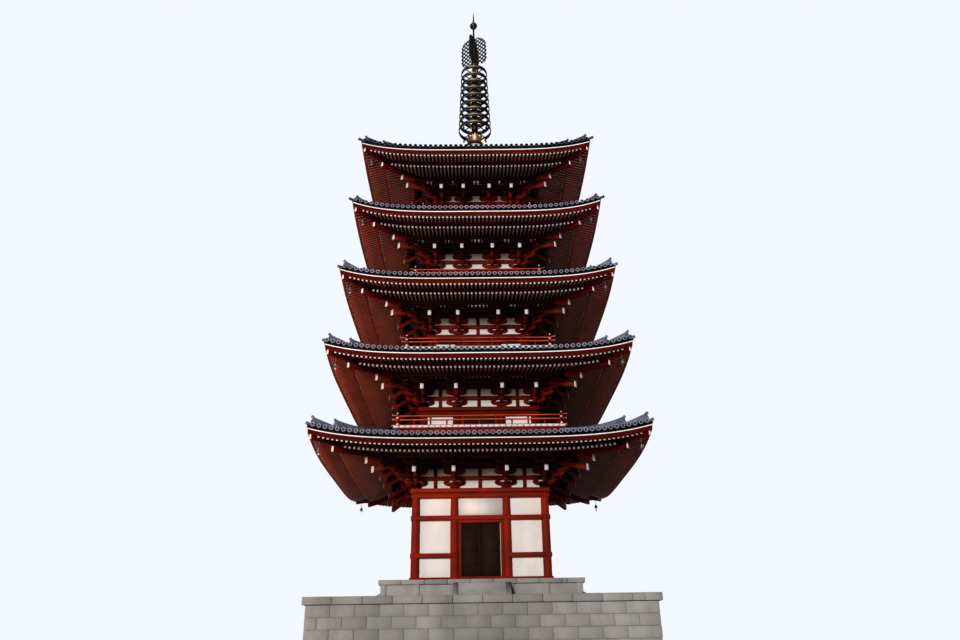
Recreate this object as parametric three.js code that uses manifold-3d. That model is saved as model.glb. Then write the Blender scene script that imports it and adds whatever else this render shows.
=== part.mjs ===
// Five-storied timber pagoda on a masonry podium, as a scale model at one half of full size.
import * as THREE from "three";
import { mergeVertices } from "three/addons/utils/BufferGeometryUtils.js";
import Module from "manifold-3d";

const wasm = await Module();
wasm.setup();

// Scale
// Every size in the tables below is in metres of the full-size tower.
const MM_PER_METRE = 500;
const HAIRLINE = 0.3;

const mm = (metres) => Math.round(metres * MM_PER_METRE);

// Driving dimensions of the storeys, lowest first
// floor: height of the floor. column: half-width of the column grid. bay: width of the middle bay.
// eave, line, tip: half-width of the eave, and height of its edge at mid-side and at the corner.
// deck: half-width of the balcony deck. beam: depth of the tie beam over the wall.
const STOREYS = [
  { floor: 6.1, column: 3.85, bay: 3.1, eave: 9.45, line: 13.1, tip: 13.73, deck: 0, beam: 0.55 },
  { floor: 15.0, column: 3.5, bay: 2.83, eave: 8.93, line: 18.29, tip: 18.91, deck: 5.18, beam: 0.55 },
  { floor: 20.3, column: 3.12, bay: 2.6, eave: 8.42, line: 23.39, tip: 24.1, deck: 4.78, beam: 0.55 },
  { floor: 25.5, column: 2.86, bay: 2.05, eave: 7.96, line: 28.43, tip: 29.22, deck: 4.36, beam: 0.4 },
  { floor: 30.7, column: 2.46, bay: 1.82, eave: 7.64, line: 33.46, tip: 34.1, deck: 3.96, beam: 0.4 },
];

// Masonry below the tower
const PODIUM = { half: 9, top: 5, plinthHeight: 0.5, plinthReach: 0.2, coping: 0.4, copingReach: 0.15 };
const PLATFORM = { half: 5.6, lip: 0.12, lipHeight: 0.25 };
const STEPS = { risers: 6, going: 0.3, width: 2.6 };

// Timber body
const COLUMN_RADIUS = 0.25;
const WALL_OUTSIDE = -0.05;
const WALL_INSIDE = -0.35;
const SILL = { height: 0.2, reach: 0.3 };
const PLATE_REACH = 0.31;
const PLATE_BELOW_LINE = 1.64;
const DOOR = { thickness: 0.1, jamb: 0.16, groove: 0.05, setBack: 0.12, casing: 0.06 };

// Bracket clusters: how far each step reaches past the columns, and heights below the eave line
const BRACKET = {
  width: 0.26,
  blockReach: 0.27,
  armReach: 0.8,
  tailReach: 2.25,
  blockTop: -1.34,
  tailBottom: -1.05,
  tailTop: -0.75,
  tailSlope: 0.28,
  purlinInner: 1.75,
  purlinOuter: 2.05,
  purlinBottom: -0.7,
};

// Eaves: heights from the eave line, and distances in from the eave edge
const EAVE = {
  fascia: 0.28,
  fasciaDepth: 0.12,
  flyingEdge: -0.35,
  flyingRise: 0.17,
  kioiAt: 1.33,
  baseEdge: -0.405,
  baseSlope: 0.22,
  curve: 4.2,
};

// Roof tiles
const TILE = { reach: 0.09, edge: 0.23, thickness: 0.2, sag: 0.1 };
const COVER_ROW = { spacing: 1.36, half: 0.13, height: 0.12, cornerGap: 1.1, bendFrom: 0.2 };
const HIP = { width: 0.5, height: 0.34, tipShort: 0.1, topShort: 0.4 };
const APEX = { half: 1.0, top: 38.3, sag: 0.35, ceiling: 34.7 };

// Balcony
const DECK = { thickness: 0.15, beamHeight: 0.34, beamInset: 0.1, beamWidth: 0.4 };
const RAILING = {
  inset: 0.21,
  cornerPost: 0.17,
  height: 0.83,
  rail: 0.1,
  topLevel: 0.72,
};

// Finial, heights above the ground
const FINIAL = {
  sides: 10,
  basin: { half: 0.86, bottom: 37.9, top: 38.72, lip: 0.1, lipHeight: 0.16 },
  bowl: { radius: 0.82, top: 39.42 },
  lotus: { foot: 0.34, rim: 0.74, waist: 0.42, top: 40.0, cup: 0.12 },
  mast: { radius: 0.22, top: 47.5, sides: 6 },
  rings: { count: 9, lowest: 40.55, highest: 46.55, lowRadius: 1.28, highRadius: 1.05, height: 0.3, band: 0.1 },
  spoke: { width: 0.12, height: 0.12 },
  flame: { turn: -22, bottom: 47.65, top: 50.4, reach: 1.2, thickness: 0.1, core: 0.2 },
  neck: 0.075,
  jewel: { radius: 0.31, centre: 51.89 },
  tip: 53.32,
};

// Materials
const finish = (colour, roughness, metalness) =>
  new THREE.MeshStandardMaterial({ color: colour, roughness, metalness });
const VERMILION = finish(0x9a2416, 0.6, 0);
const PLASTER = finish(0xe8e2d6, 0.9, 0);
const DOOR_TIMBER = finish(0x4a1a12, 0.7, 0);
const TILES = finish(0x636a78, 0.55, 0);
const STONE = finish(0x9b968c, 0.85, 0);
const BRONZE = finish(0x4c4632, 0.45, 0.8);

// Solids
function toSolid(geometry) {
  const bare = geometry.clone();
  bare.deleteAttribute("normal");
  bare.deleteAttribute("uv");
  const merged = mergeVertices(bare, 1e-3);
  const mesh = new wasm.Mesh({
    numProp: 3,
    vertProperties: merged.attributes.position.array,
    triVerts: new Uint32Array(merged.index.array),
  });
  return new wasm.Manifold(mesh);
}

function toGeometry(solid) {
  const mesh = solid.getMesh();
  const geometry = new THREE.BufferGeometry();
  geometry.setAttribute("position", new THREE.BufferAttribute(mesh.vertProperties, 3));
  geometry.setIndex(new THREE.BufferAttribute(mesh.triVerts, 1));
  const faceted = geometry.toNonIndexed();
  faceted.computeVertexNormals();
  return faceted;
}

const join = (pieces) => pieces.map(toSolid).reduce((sum, piece) => sum.add(piece));
const cut = (solid, pieces) => pieces.map(toSolid).reduce((rest, piece) => rest.subtract(piece), solid);

// A box between two opposite corners.
function block(x0, x1, y0, y1, z0, z1) {
  const box = new THREE.BoxGeometry(x1 - x0, y1 - y0, z1 - z0);
  return box.translate((x0 + x1) / 2, (y0 + y1) / 2, (z0 + z1) / 2);
}

// A square slab centred on the axis.
const slab = (half, z0, z1) => block(-half, half, -half, half, z0, z1);

// A square ring centred on the axis, as a closed profile (half-width, height) carried round the square.
// Each profile point may lift towards the corners. The stations are shares of the half side.
// Faces split along the same diagonal whichever way the profile runs, so that two rings can lie face to face.
function squareSweep(profile, stations = [0]) {
  const along = [...stations.map((s) => -s).reverse(), ...stations.slice(1)].slice(0, -1);
  const shares = stations.length > 1 ? along : [-1];
  const positions = [];
  for (let side = 0; side < 4; side += 1) {
    const turn = [[1, 0], [0, 1], [-1, 0], [0, -1]][side];
    for (const share of shares) {
      for (const point of profile) {
        const x = share * point.half;
        const y = -point.half;
        const lift = (point.lift || 0) * Math.abs(share) ** EAVE.curve;
        positions.push(x * turn[0] - y * turn[1], x * turn[1] + y * turn[0], point.z + lift);
      }
    }
  }
  const count = profile.length;
  const loops = 4 * shares.length;
  const index = [];
  for (let loop = 0; loop < loops; loop += 1) {
    const next = (loop + 1) % loops;
    for (let i = 0; i < count; i += 1) {
      const j = (i + 1) % count;
      const a = loop * count + i;
      const b = next * count + i;
      const c = next * count + j;
      const d = loop * count + j;
      if (profile[i].half >= profile[j].half) {
        index.push(a, b, c, a, c, d);
      } else {
        index.push(a, b, d, b, c, d);
      }
    }
  }
  const ring = new THREE.BufferGeometry();
  ring.setAttribute("position", new THREE.Float32BufferAttribute(positions, 3));
  ring.setIndex(index);
  return ring;
}

// A plain square ring with upright sides.
function squareRing(outer, inner, z0, z1) {
  return squareSweep([
    { half: outer, z: z0 },
    { half: outer, z: z1 },
    { half: inner, z: z1 },
    { half: inner, z: z0 },
  ]);
}

// Copies of a piece at the four sides.
const fourSides = (piece) => [0, 1, 2, 3].map((side) => piece.clone().rotateZ((side * Math.PI) / 2));

// An outline of (distance from the axis, height) points, given a width and laid along the -Y direction.
function radialPlate(points, width) {
  const outline = new THREE.Shape(points.map(([reach, z]) => new THREE.Vector2(reach, z)));
  const plate = new THREE.ExtrudeGeometry(outline, { depth: width, bevelEnabled: false });
  return plate.translate(0, 0, -width / 2).rotateX(Math.PI / 2).rotateZ(-Math.PI / 2);
}

function post(radius, z0, z1, sides, x = 0, y = 0) {
  const column = new THREE.CylinderGeometry(radius, radius, z1 - z0, sides);
  return column.rotateX(Math.PI / 2).rotateZ(Math.PI / sides).translate(x, y, (z0 + z1) / 2);
}

function turned(points, sides) {
  const profile = points.map(([radius, z]) => new THREE.Vector2(radius, z));
  return new THREE.LatheGeometry(profile, sides).rotateX(Math.PI / 2);
}

const group = new THREE.Group();

function addNode(name, shape, material) {
  const geometry = shape.isBufferGeometry ? shape : toGeometry(shape);
  const node = new THREE.Mesh(geometry, material);
  node.name = name;
  group.add(node);
}

// Places on the grid of one storey, in model millimetres
function gridOf(storey) {
  const column = mm(storey.column);
  const inner = mm(storey.bay / 2);
  const line = mm(storey.line);
  return {
    column,
    inner,
    line,
    floor: mm(storey.floor),
    outside: column + mm(WALL_OUTSIDE),
    inside: column + mm(WALL_INSIDE),
    plateTop: line - mm(PLATE_BELOW_LINE),
    tieBottom: line - mm(PLATE_BELOW_LINE) - mm(storey.beam),
    along: [-column, -inner, inner, column],
  };
}

// Positions of the twelve columns of one storey.
function columnPlaces(grid) {
  const places = [];
  for (const x of grid.along) {
    for (const y of grid.along) {
      if (Math.abs(x) === grid.column || Math.abs(y) === grid.column) {
        places.push([x, y]);
      }
    }
  }
  return places;
}

// Height of the underside of the eaves at a distance from the axis, where the lower rafters run.
function soffit(storey, half) {
  return mm(storey.line + EAVE.baseEdge) + EAVE.baseSlope * (mm(storey.eave - EAVE.kioiAt) - half);
}

// Doorway of one side, as half-width and height range.
function doorway(storey, grid) {
  return {
    half: grid.inner - mm(COLUMN_RADIUS + DOOR.jamb),
    bottom: grid.floor + mm(SILL.height),
    top: grid.tieBottom,
  };
}

// Wall ring: plaster walls round a hollow room, cut through at the four doorways and round the columns
function wallRing(storey, grid, top) {
  const opening = doorway(storey, grid);
  const ring = toSolid(squareRing(grid.outside, grid.inside, grid.floor, top));
  const hole = block(
    -opening.half,
    opening.half,
    -grid.outside - mm(COLUMN_RADIUS),
    -grid.inside + mm(COLUMN_RADIUS),
    opening.bottom,
    opening.top,
  );
  const clearance = COLUMN_RADIUS * MM_PER_METRE + HAIRLINE;
  const grooves = columnPlaces(grid).map(([x, y]) =>
    post(clearance, grid.floor - 1, grid.tieBottom, 8, x, y),
  );
  return cut(ring, [...fourSides(hole), ...grooves]);
}

// A pair of door leaves in one doorway, with a groove where they meet
function doorPair(storey, grid) {
  const opening = doorway(storey, grid);
  const face = -grid.outside + mm(DOOR.setBack);
  const leaf = block(
    -opening.half,
    opening.half,
    face,
    face + mm(DOOR.thickness),
    opening.bottom,
    opening.top,
  );
  const groove = mm(DOOR.groove) / 2;
  const slot = block(-groove, groove, face - 1, face + groove, opening.bottom - 1, opening.top + 1);
  return toGeometry(cut(toSolid(leaf), [slot]));
}

// Timber frame: twelve columns under a tie beam, with the fixed doors of an upper storey
function timberFrame(storey, grid, withDoors) {
  const pieces = [squareRing(grid.column + mm(PLATE_REACH), grid.outside, grid.tieBottom, grid.plateTop)];
  for (const [x, y] of columnPlaces(grid)) {
    pieces.push(post(COLUMN_RADIUS * MM_PER_METRE, grid.floor, grid.tieBottom, 8, x, y));
  }
  if (withDoors) {
    const opening = doorway(storey, grid);
    const lining = block(
      -opening.half,
      opening.half,
      -grid.column - mm(DOOR.casing),
      -grid.outside + mm(DOOR.setBack + DOOR.thickness),
      opening.bottom,
      opening.top,
    );
    const recess = block(
      -opening.half + mm(DOOR.jamb),
      opening.half - mm(DOOR.jamb),
      -grid.column - mm(COLUMN_RADIUS),
      -grid.outside + mm(DOOR.setBack),
      opening.bottom,
      opening.top - mm(DOOR.jamb),
    );
    const sillLink = block(
      -opening.half,
      opening.half,
      -grid.column - mm(SILL.reach),
      -grid.outside,
      grid.floor,
      opening.bottom + mm(DOOR.groove),
    );
    const door = toGeometry(cut(toSolid(lining), [recess]).add(toSolid(sillLink)));
    pieces.push(...fourSides(door));
  }
  return join(pieces);
}

// Bracket clusters: stepped arms and a tail rafter over every column, carrying the eave purlin
function bracketRing(storey, grid) {
  const level = (z) => grid.line + mm(z);
  const steps = (reach) => [
    [grid.outside * reach, grid.plateTop],
    [(grid.column + mm(BRACKET.blockReach)) * reach, grid.plateTop],
    [(grid.column + mm(BRACKET.blockReach)) * reach, level(BRACKET.blockTop)],
    [(grid.column + mm(BRACKET.armReach)) * reach, level(BRACKET.blockTop)],
    [(grid.column + mm(BRACKET.armReach)) * reach, level(BRACKET.tailBottom)],
    [(grid.column + mm(BRACKET.tailReach)) * reach, level(BRACKET.tailBottom)],
    [(grid.column + mm(BRACKET.tailReach)) * reach, level(BRACKET.tailTop)],
    [grid.outside * reach, level(BRACKET.tailTop + BRACKET.tailSlope * BRACKET.tailReach)],
  ];
  const purlinTop = soffit(storey, grid.column + mm(BRACKET.purlinOuter)) - HAIRLINE;
  const pieces = [
    squareRing(
      grid.column + mm(BRACKET.purlinOuter),
      grid.column + mm(BRACKET.purlinInner),
      level(BRACKET.purlinBottom),
      purlinTop,
    ),
  ];
  const straight = radialPlate(steps(1), mm(BRACKET.width));
  for (const x of [-grid.inner, grid.inner]) {
    pieces.push(...fourSides(straight.clone().translate(x, 0, 0)));
  }
  const atCorner = [-grid.column, grid.column].map((x) => straight.clone().translate(x, 0, 0));
  for (const piece of atCorner) {
    pieces.push(...fourSides(piece));
  }
  const diagonal = radialPlate(steps(Math.SQRT2), mm(BRACKET.width)).rotateZ(Math.PI / 4);
  pieces.push(...fourSides(diagonal));
  const room = slab(grid.outside + HAIRLINE, grid.floor, level(1));
  return cut(join(pieces), [room]);
}

// Eaves: fascia, flying rafter tier and lower rafter tier, filled up to the tile bed
const EAVE_STATIONS = [0, 0.7, 0.9, 1];

function cornerLift(storey, half) {
  const share = (half - mm(storey.column)) / (mm(storey.eave) - mm(storey.column));
  return mm(storey.tip - storey.line) * Math.max(share, 0) ** 2;
}

// A point of the roof surface, which sags between the tile edge and its upper end.
function roofPoint(storey, upper, half, offset) {
  const edge = { half: mm(storey.eave + TILE.reach), z: mm(storey.line + TILE.edge) };
  const share = (half - edge.half) / (upper.half - edge.half);
  const sag = mm(upper.sag) * 4 * share * (1 - share);
  const z = edge.z + (upper.z - edge.z) * share - sag + offset;
  return { half, z, lift: cornerLift(storey, half) };
}

// Rows of the roof surface from the tile edge upwards. The second row lies over the eave edge.
function roofRows(storey, upper, offset) {
  const edge = mm(storey.eave + TILE.reach);
  const halves = [edge, mm(storey.eave), (edge + upper.half) / 2, upper.half];
  return halves.map((half) => roofPoint(storey, upper, half, offset));
}

function eaves(storey, grid, upper) {
  const eave = mm(storey.eave);
  const at = (inward, height) => ({
    half: eave - mm(inward),
    z: grid.line + mm(height),
    lift: cornerLift(storey, eave - mm(inward)),
  });
  const bed = roofRows(storey, upper, -mm(TILE.thickness) - HAIRLINE).slice(1);
  const under = [
    at(0, -EAVE.fascia),
    at(EAVE.fasciaDepth, EAVE.flyingEdge),
    at(EAVE.kioiAt, EAVE.flyingEdge + EAVE.flyingRise),
    at(EAVE.kioiAt, EAVE.baseEdge),
    { half: grid.outside, z: soffit(storey, grid.outside) },
  ];
  const seat = [{ half: upper.half, z: upper.seat }, { half: grid.outside, z: upper.seat }];
  return squareSweep([...under.reverse(), ...bed, ...seat], EAVE_STATIONS);
}

// Share of the corner lift at a share of the half side, straight between the stations
function stationLift(share) {
  const after = Math.max(EAVE_STATIONS.findIndex((station) => station >= share), 1);
  const [low, high] = [EAVE_STATIONS[after - 1], EAVE_STATIONS[after]];
  const [liftLow, liftHigh] = [low ** EAVE.curve, high ** EAVE.curve];
  return liftLow + ((liftHigh - liftLow) * (share - low)) / (high - low);
}

// Height of the cover rows over the tile surface at a distance along the side. Every fourth row of the
// real roof is a ridge of three-sided section.
function coverRise(x, last) {
  const nearest = Math.min(Math.round(Math.abs(x) / mm(COVER_ROW.spacing)), last) * mm(COVER_ROW.spacing);
  const away = Math.abs(Math.abs(x) - nearest) / mm(COVER_ROW.half);
  return mm(COVER_ROW.height) * Math.max(1 - away, 0);
}

// Places along a side where the tile surface bends: both feet and the crest of each cover row, and the
// corners of the surface's rows
function coverLines(corners, last) {
  const crests = Array.from({ length: last + 1 }, (_, i) => i * mm(COVER_ROW.spacing));
  const bends = crests.flatMap((crest) => [crest - mm(COVER_ROW.half), crest, crest + mm(COVER_ROW.half)]);
  const right = [...bends.filter((x) => x > 0), ...corners].sort((a, b) => a - b);
  return [...right.map((x) => -x).reverse(), 0, ...right];
}

// Tile surface with its cover rows: four like sides that meet along the hips
function tileShell(storey, upper) {
  const bottom = roofRows(storey, upper, -mm(TILE.thickness));
  const [edge, , middle, inner] = bottom.map((row) => row.half);
  const last = Math.floor((edge - mm(COVER_ROW.cornerGap)) / mm(COVER_ROW.spacing));
  const bent = upper.sag >= COVER_ROW.bendFrom;
  const lines = coverLines(bent ? [inner, middle, edge] : [inner, edge], last);
  const shares = [...EAVE_STATIONS.map((share) => -share).reverse(), ...EAVE_STATIONS.slice(1)];
  const positions = [];
  const index = [];
  for (const [cos, sin] of [[1, 0], [0, 1], [-1, 0], [0, -1]]) {
    const place = (x, half, z) => {
      positions.push(x * cos + half * sin, x * sin - half * cos, z);
      return positions.length / 3 - 1;
    };
    const over = lines.map((x) => {
      const end = Math.max(inner, Math.abs(x));
      const shown = [true, bent && middle > end, end < edge];
      const halves = [edge, middle, end].filter((half, i) => shown[i]);
      return halves.map((half) => {
        const row = roofPoint(storey, upper, half, 0);
        const lift = row.lift * stationLift(Math.abs(x) / half);
        return { x, id: place(x, half, row.z + lift + coverRise(x, last)) };
      });
    });
    const under = bottom.map((row) => shares.map((share) => {
      const z = row.z + row.lift * Math.abs(share) ** EAVE.curve;
      return { x: share * row.half, id: place(share * row.half, row.half, z) };
    }));
    for (let i = 0; i + 1 < over.length; i += 1) {
      const [a, b] = [over[i], over[i + 1]];
      for (let j = 0; j + 1 < Math.max(a.length, b.length); j += 1) {
        if (a[j] && b[j] && b[j + 1]) {
          index.push(a[j].id, b[j].id, b[j + 1].id);
        }
        if (a[j + 1] && (b[j + 1] || b[j])) {
          index.push(a[j].id, (b[j + 1] || b[j]).id, a[j + 1].id);
        }
      }
    }
    for (let i = 0; i + 1 < under.length; i += 1) {
      const [outer, within] = [under[i], under[i + 1]];
      for (let k = 0; k + 1 < shares.length; k += 1) {
        index.push(within[k].id, within[k + 1].id, outer[k].id);
        index.push(within[k + 1].id, outer[k + 1].id, outer[k].id);
      }
    }
    const front = over.map((line) => line[0]);
    const back = over.filter((line) => Math.abs(line[0].x) <= inner).map((line) => line[line.length - 1]);
    index.push(...upright(under[0], front), ...upright(under[3], back).reverse());
  }
  const shell = new THREE.BufferGeometry();
  shell.setAttribute("position", new THREE.Float32BufferAttribute(positions, 3));
  shell.setIndex(index);
  return shell;
}

// Faces of an upright strip between a lower and an upper row of points, both in order along the side
function upright(lower, upper) {
  const faces = [];
  let [i, j] = [0, 0];
  while (i + 1 < lower.length || j + 1 < upper.length) {
    const raise = i + 1 === lower.length || (j + 1 < upper.length && upper[j + 1].x < lower[i + 1].x);
    if (raise) {
      faces.push(lower[i].id, upper[j + 1].id, upper[j].id);
      j += 1;
    } else {
      faces.push(lower[i].id, lower[i + 1].id, upper[j].id);
      i += 1;
    }
  }
  return faces;
}

// Hip ridge of one corner, as a plate that follows the roof's corner line
function hipRidge(storey, upper) {
  const edge = mm(storey.eave + TILE.reach);
  const halves = [edge - mm(HIP.tipShort), (edge + upper.half) / 2, upper.half + mm(HIP.topShort)];
  const line = halves.map((half) => {
    const row = roofPoint(storey, upper, half, 0);
    return [half * Math.SQRT2, row.z + row.lift];
  });
  const raise = (height) => line.map(([reach, z]) => [reach, z + height]);
  const plate = [...raise(-mm(TILE.thickness) / 2).reverse(), ...raise(mm(HIP.height))];
  return radialPlate(plate, mm(HIP.width)).rotateZ(Math.PI / 4);
}

// Tile surface and hip ridges. The topmost roof also leaves room for the foot of the finial.
function roofCovering(storey, upper) {
  const covering = join([tileShell(storey, upper), ...fourSides(hipRidge(storey, upper))]);
  if (upper.half !== mm(APEX.half)) {
    return covering;
  }
  const clear = mm(APEX.half + FINIAL.basin.lip) + 1;
  const seat = mm(APEX.top);
  return cut(covering, [slab(clear, seat, seat + 2 * mm(HIP.height))]);
}

// Balcony deck: a floor slab with its edge beams underneath
function balconyDeck(storey, grid) {
  const half = mm(storey.deck);
  const underside = grid.floor - mm(DECK.thickness);
  const beamOuter = half - mm(DECK.beamInset);
  return join([
    slab(half, underside, grid.floor),
    squareRing(beamOuter, beamOuter - mm(DECK.beamWidth), underside - mm(DECK.beamHeight), underside),
  ]);
}

// Railing: a base rail and a top rail round the deck, on posts at the corners and in line with the columns
function balconyRailing(storey, grid) {
  const half = mm(storey.deck - RAILING.inset);
  const rail = mm(RAILING.rail) / 2;
  const top = grid.floor + mm(RAILING.topLevel);
  const pieces = [
    squareRing(half + rail, half - rail, grid.floor, grid.floor + mm(RAILING.rail)),
    squareRing(half + rail, half - rail, top - rail, top + rail),
  ];
  const corner = mm(RAILING.cornerPost) / 2;
  const cornerPost = block(
    -half - corner,
    -half + corner,
    -half - corner,
    -half + corner,
    grid.floor,
    grid.floor + mm(RAILING.height),
  );
  pieces.push(...fourSides(cornerPost));
  for (const x of [-grid.inner, grid.inner]) {
    const between = block(x - rail, x + rail, -half - rail, -half + rail, grid.floor, top);
    pieces.push(...fourSides(between));
  }
  return join(pieces);
}

// Podium of masonry, and the stone platform with its four flights of steps
function podium() {
  const top = mm(PODIUM.top - PODIUM.coping);
  return join([
    slab(mm(PODIUM.half + PODIUM.plinthReach), 0, mm(PODIUM.plinthHeight)),
    slab(mm(PODIUM.half), 0, top),
  ]);
}

function platform() {
  const top = mm(STOREYS[0].floor);
  return join([
    slab(mm(PLATFORM.half), mm(PODIUM.top), top),
    slab(mm(PLATFORM.half + PLATFORM.lip), top - mm(PLATFORM.lipHeight), top),
  ]);
}

function flight() {
  const bottom = mm(PODIUM.top);
  const top = mm(STOREYS[0].floor) - mm(PLATFORM.lipHeight);
  const start = mm(PLATFORM.half);
  const rise = (top - bottom) / (STEPS.risers - 1);
  const going = mm(STEPS.going);
  const points = [[start, bottom], [start + going * (STEPS.risers - 1), bottom]];
  for (let step = STEPS.risers - 1; step > 0; step -= 1) {
    const height = bottom + rise * (STEPS.risers - step);
    points.push([start + going * step, height], [start + going * (step - 1), height]);
  }
  return radialPlate(points, mm(STEPS.width));
}

// Finial
function finialBasin() {
  const { half, bottom, top, lip, lipHeight } = FINIAL.basin;
  return join([
    slab(mm(half), mm(bottom), mm(top)),
    slab(mm(half + lip), mm(top - lipHeight), mm(top)),
    slab(mm(APEX.half + lip), mm(APEX.top), mm(APEX.top + lipHeight)),
  ]);
}

function finialBowl() {
  const { radius, top } = FINIAL.bowl;
  const bottom = mm(FINIAL.basin.top);
  const height = mm(top) - bottom;
  const points = [[0, bottom]];
  const rows = 5;
  for (let row = 0; row < rows; row += 1) {
    const angle = (row / rows) * (Math.PI / 2);
    points.push([mm(radius) * Math.cos(angle), bottom + height * Math.sin(angle)]);
  }
  points.push([0, mm(top)]);
  return turned(points, FINIAL.sides);
}

function finialLotus() {
  const { foot, rim, waist, top, cup } = FINIAL.lotus;
  const bottom = mm(FINIAL.bowl.top) + HAIRLINE;
  const height = mm(top) - bottom;
  return turned(
    [
      [0, bottom],
      [mm(foot), bottom],
      [mm(waist), bottom + height * 0.35],
      [mm(rim), mm(top)],
      [mm(rim) * 0.9, mm(top)],
      [mm(foot), mm(top - cup)],
      [0, mm(top - cup)],
    ],
    FINIAL.sides,
  );
}

function finialRings() {
  const { count, lowest, highest, lowRadius, highRadius, height, band } = FINIAL.rings;
  const { sides, spoke, mast } = FINIAL;
  const bottom = mm(FINIAL.lotus.top - FINIAL.lotus.cup) + HAIRLINE;
  const pieces = [post(mm(mast.radius), bottom, mm(mast.top), mast.sides)];
  for (let i = 0; i < count; i += 1) {
    const share = i / (count - 1);
    const z = mm(lowest + (highest - lowest) * share);
    const radius = mm(lowRadius + (highRadius - lowRadius) * share);
    const inner = radius - mm(band);
    const half = mm(height) / 2;
    const ring = turned(
      [[inner, z - half], [radius, z - half], [radius, z + half], [inner, z + half], [inner, z - half]],
      sides,
    );
    pieces.push(ring);
    const arm = mm(spoke.width) / 2;
    const reach = radius - mm(band) / 2;
    const lift = mm(spoke.height) / 2;
    pieces.push(block(-reach, reach, -arm, arm, z - lift, z + lift));
    pieces.push(block(-arm, arm, -reach, reach, z - lift, z + lift));
  }
  return join(pieces);
}

function finialFlame() {
  const { turn, bottom, top, reach, thickness, core } = FINIAL.flame;
  const low = mm(bottom);
  const high = mm(top);
  const at = (share) => low + (high - low) * share;
  const outline = [
    [0, at(0)],
    [mm(reach * 0.55), at(0.02)],
    [mm(reach * 0.9), at(0.12)],
    [mm(reach), at(0.4)],
    [mm(reach * 0.86), at(0.7)],
    [mm(reach * 0.6), at(0.9)],
    [mm(reach * 0.3), at(1)],
    [0, at(1)],
  ];
  const vane = radialPlate(outline, mm(thickness));
  const windows = [
    [0.3, 0.55, 0.12, 0.3],
    [0.3, 0.75, 0.38, 0.6],
    [0.3, 0.55, 0.68, 0.85],
  ].map(([inner, outer, from, to]) =>
    block(
      -mm(thickness),
      mm(thickness),
      -mm(reach * outer),
      -mm(reach * inner),
      at(from),
      at(to),
    ),
  );
  const openwork = toGeometry(cut(toSolid(vane), windows));
  const base = mm(FINIAL.mast.top) + HAIRLINE;
  const pieces = [...fourSides(openwork), post(mm(core), base, high, 8)];
  return toGeometry(join(pieces)).rotateZ((turn * Math.PI) / 180);
}

function finialJewel() {
  const { radius, centre } = FINIAL.jewel;
  const foot = mm(FINIAL.flame.top) + HAIRLINE;
  const neck = mm(FINIAL.neck);
  const points = [[0, foot], [neck, foot]];
  const rows = 6;
  for (let row = 1; row < rows; row += 1) {
    const angle = (row / rows - 0.5) * Math.PI;
    points.push([mm(radius) * Math.cos(angle), mm(centre) + mm(radius) * Math.sin(angle)]);
  }
  points.push([neck, mm(centre + radius)], [0, mm(FINIAL.tip)]);
  return turned(points, FINIAL.sides);
}

// Upper end of each roof: under the edge beams of the next balcony, or at the foot of the finial
function roofUpperEnd(index) {
  const next = STOREYS[index + 1];
  if (!next) {
    return { half: mm(APEX.half), z: mm(APEX.top), sag: APEX.sag, seat: mm(APEX.ceiling) };
  }
  const beamBottom = mm(next.floor) - mm(DECK.thickness) - mm(DECK.beamHeight);
  return { half: mm(next.deck - DECK.beamInset), z: beamBottom, sag: TILE.sag, seat: beamBottom };
}

// Assembly
addNode("podium", podium(), STONE);
addNode(
  "podium_coping",
  slab(mm(PODIUM.half + PODIUM.copingReach), mm(PODIUM.top - PODIUM.coping), mm(PODIUM.top)),
  STONE,
);
addNode("stone_platform", platform(), STONE);
["front", "right", "back", "left"].forEach((side, turn) => {
  addNode("steps_" + side, flight().rotateZ((turn * Math.PI) / 2), STONE);
});

STOREYS.forEach((storey, index) => {
  const number = index + 1;
  const grid = gridOf(storey);
  const upper = roofUpperEnd(index);
  const next = STOREYS[index + 1];
  const wallTop = next ? mm(next.floor) - mm(DECK.thickness) : mm(APEX.ceiling);
  if (number > 1) {
    addNode("balcony_deck_" + number, balconyDeck(storey, grid), VERMILION);
    addNode("balcony_railing_" + number, balconyRailing(storey, grid), VERMILION);
  }
  addNode("walls_" + number, wallRing(storey, grid, wallTop), PLASTER);
  addNode("timber_frame_" + number, timberFrame(storey, grid, number > 1), VERMILION);
  if (number === 1) {
    const pair = doorPair(storey, grid);
    ["front", "right", "back", "left"].forEach((side, turn) => {
      addNode("doors_" + side, pair.clone().rotateZ((turn * Math.PI) / 2), DOOR_TIMBER);
    });
  }
  addNode("brackets_" + number, bracketRing(storey, grid), VERMILION);
  addNode("eaves_" + number, eaves(storey, grid, upper), VERMILION);
  addNode("roof_tiles_" + number, roofCovering(storey, upper), TILES);
});

addNode("finial_basin", finialBasin(), BRONZE);
addNode("finial_bowl", finialBowl(), BRONZE);
addNode("finial_lotus", finialLotus(), BRONZE);
addNode("finial_rings", finialRings(), BRONZE);
addNode("finial_flame", finialFlame(), BRONZE);
addNode("finial_jewel", finialJewel(), BRONZE);

export default group;
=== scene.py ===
"""Looks of a five-storied pagoda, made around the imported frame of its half-size model."""
import math
from collections import namedtuple
from types import SimpleNamespace

import bpy
import numpy as np
from bpy.props import FloatProperty, FloatVectorProperty, PointerProperty
from bpy.types import Operator, Panel, PropertyGroup
from mathutils import Matrix, Vector


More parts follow.
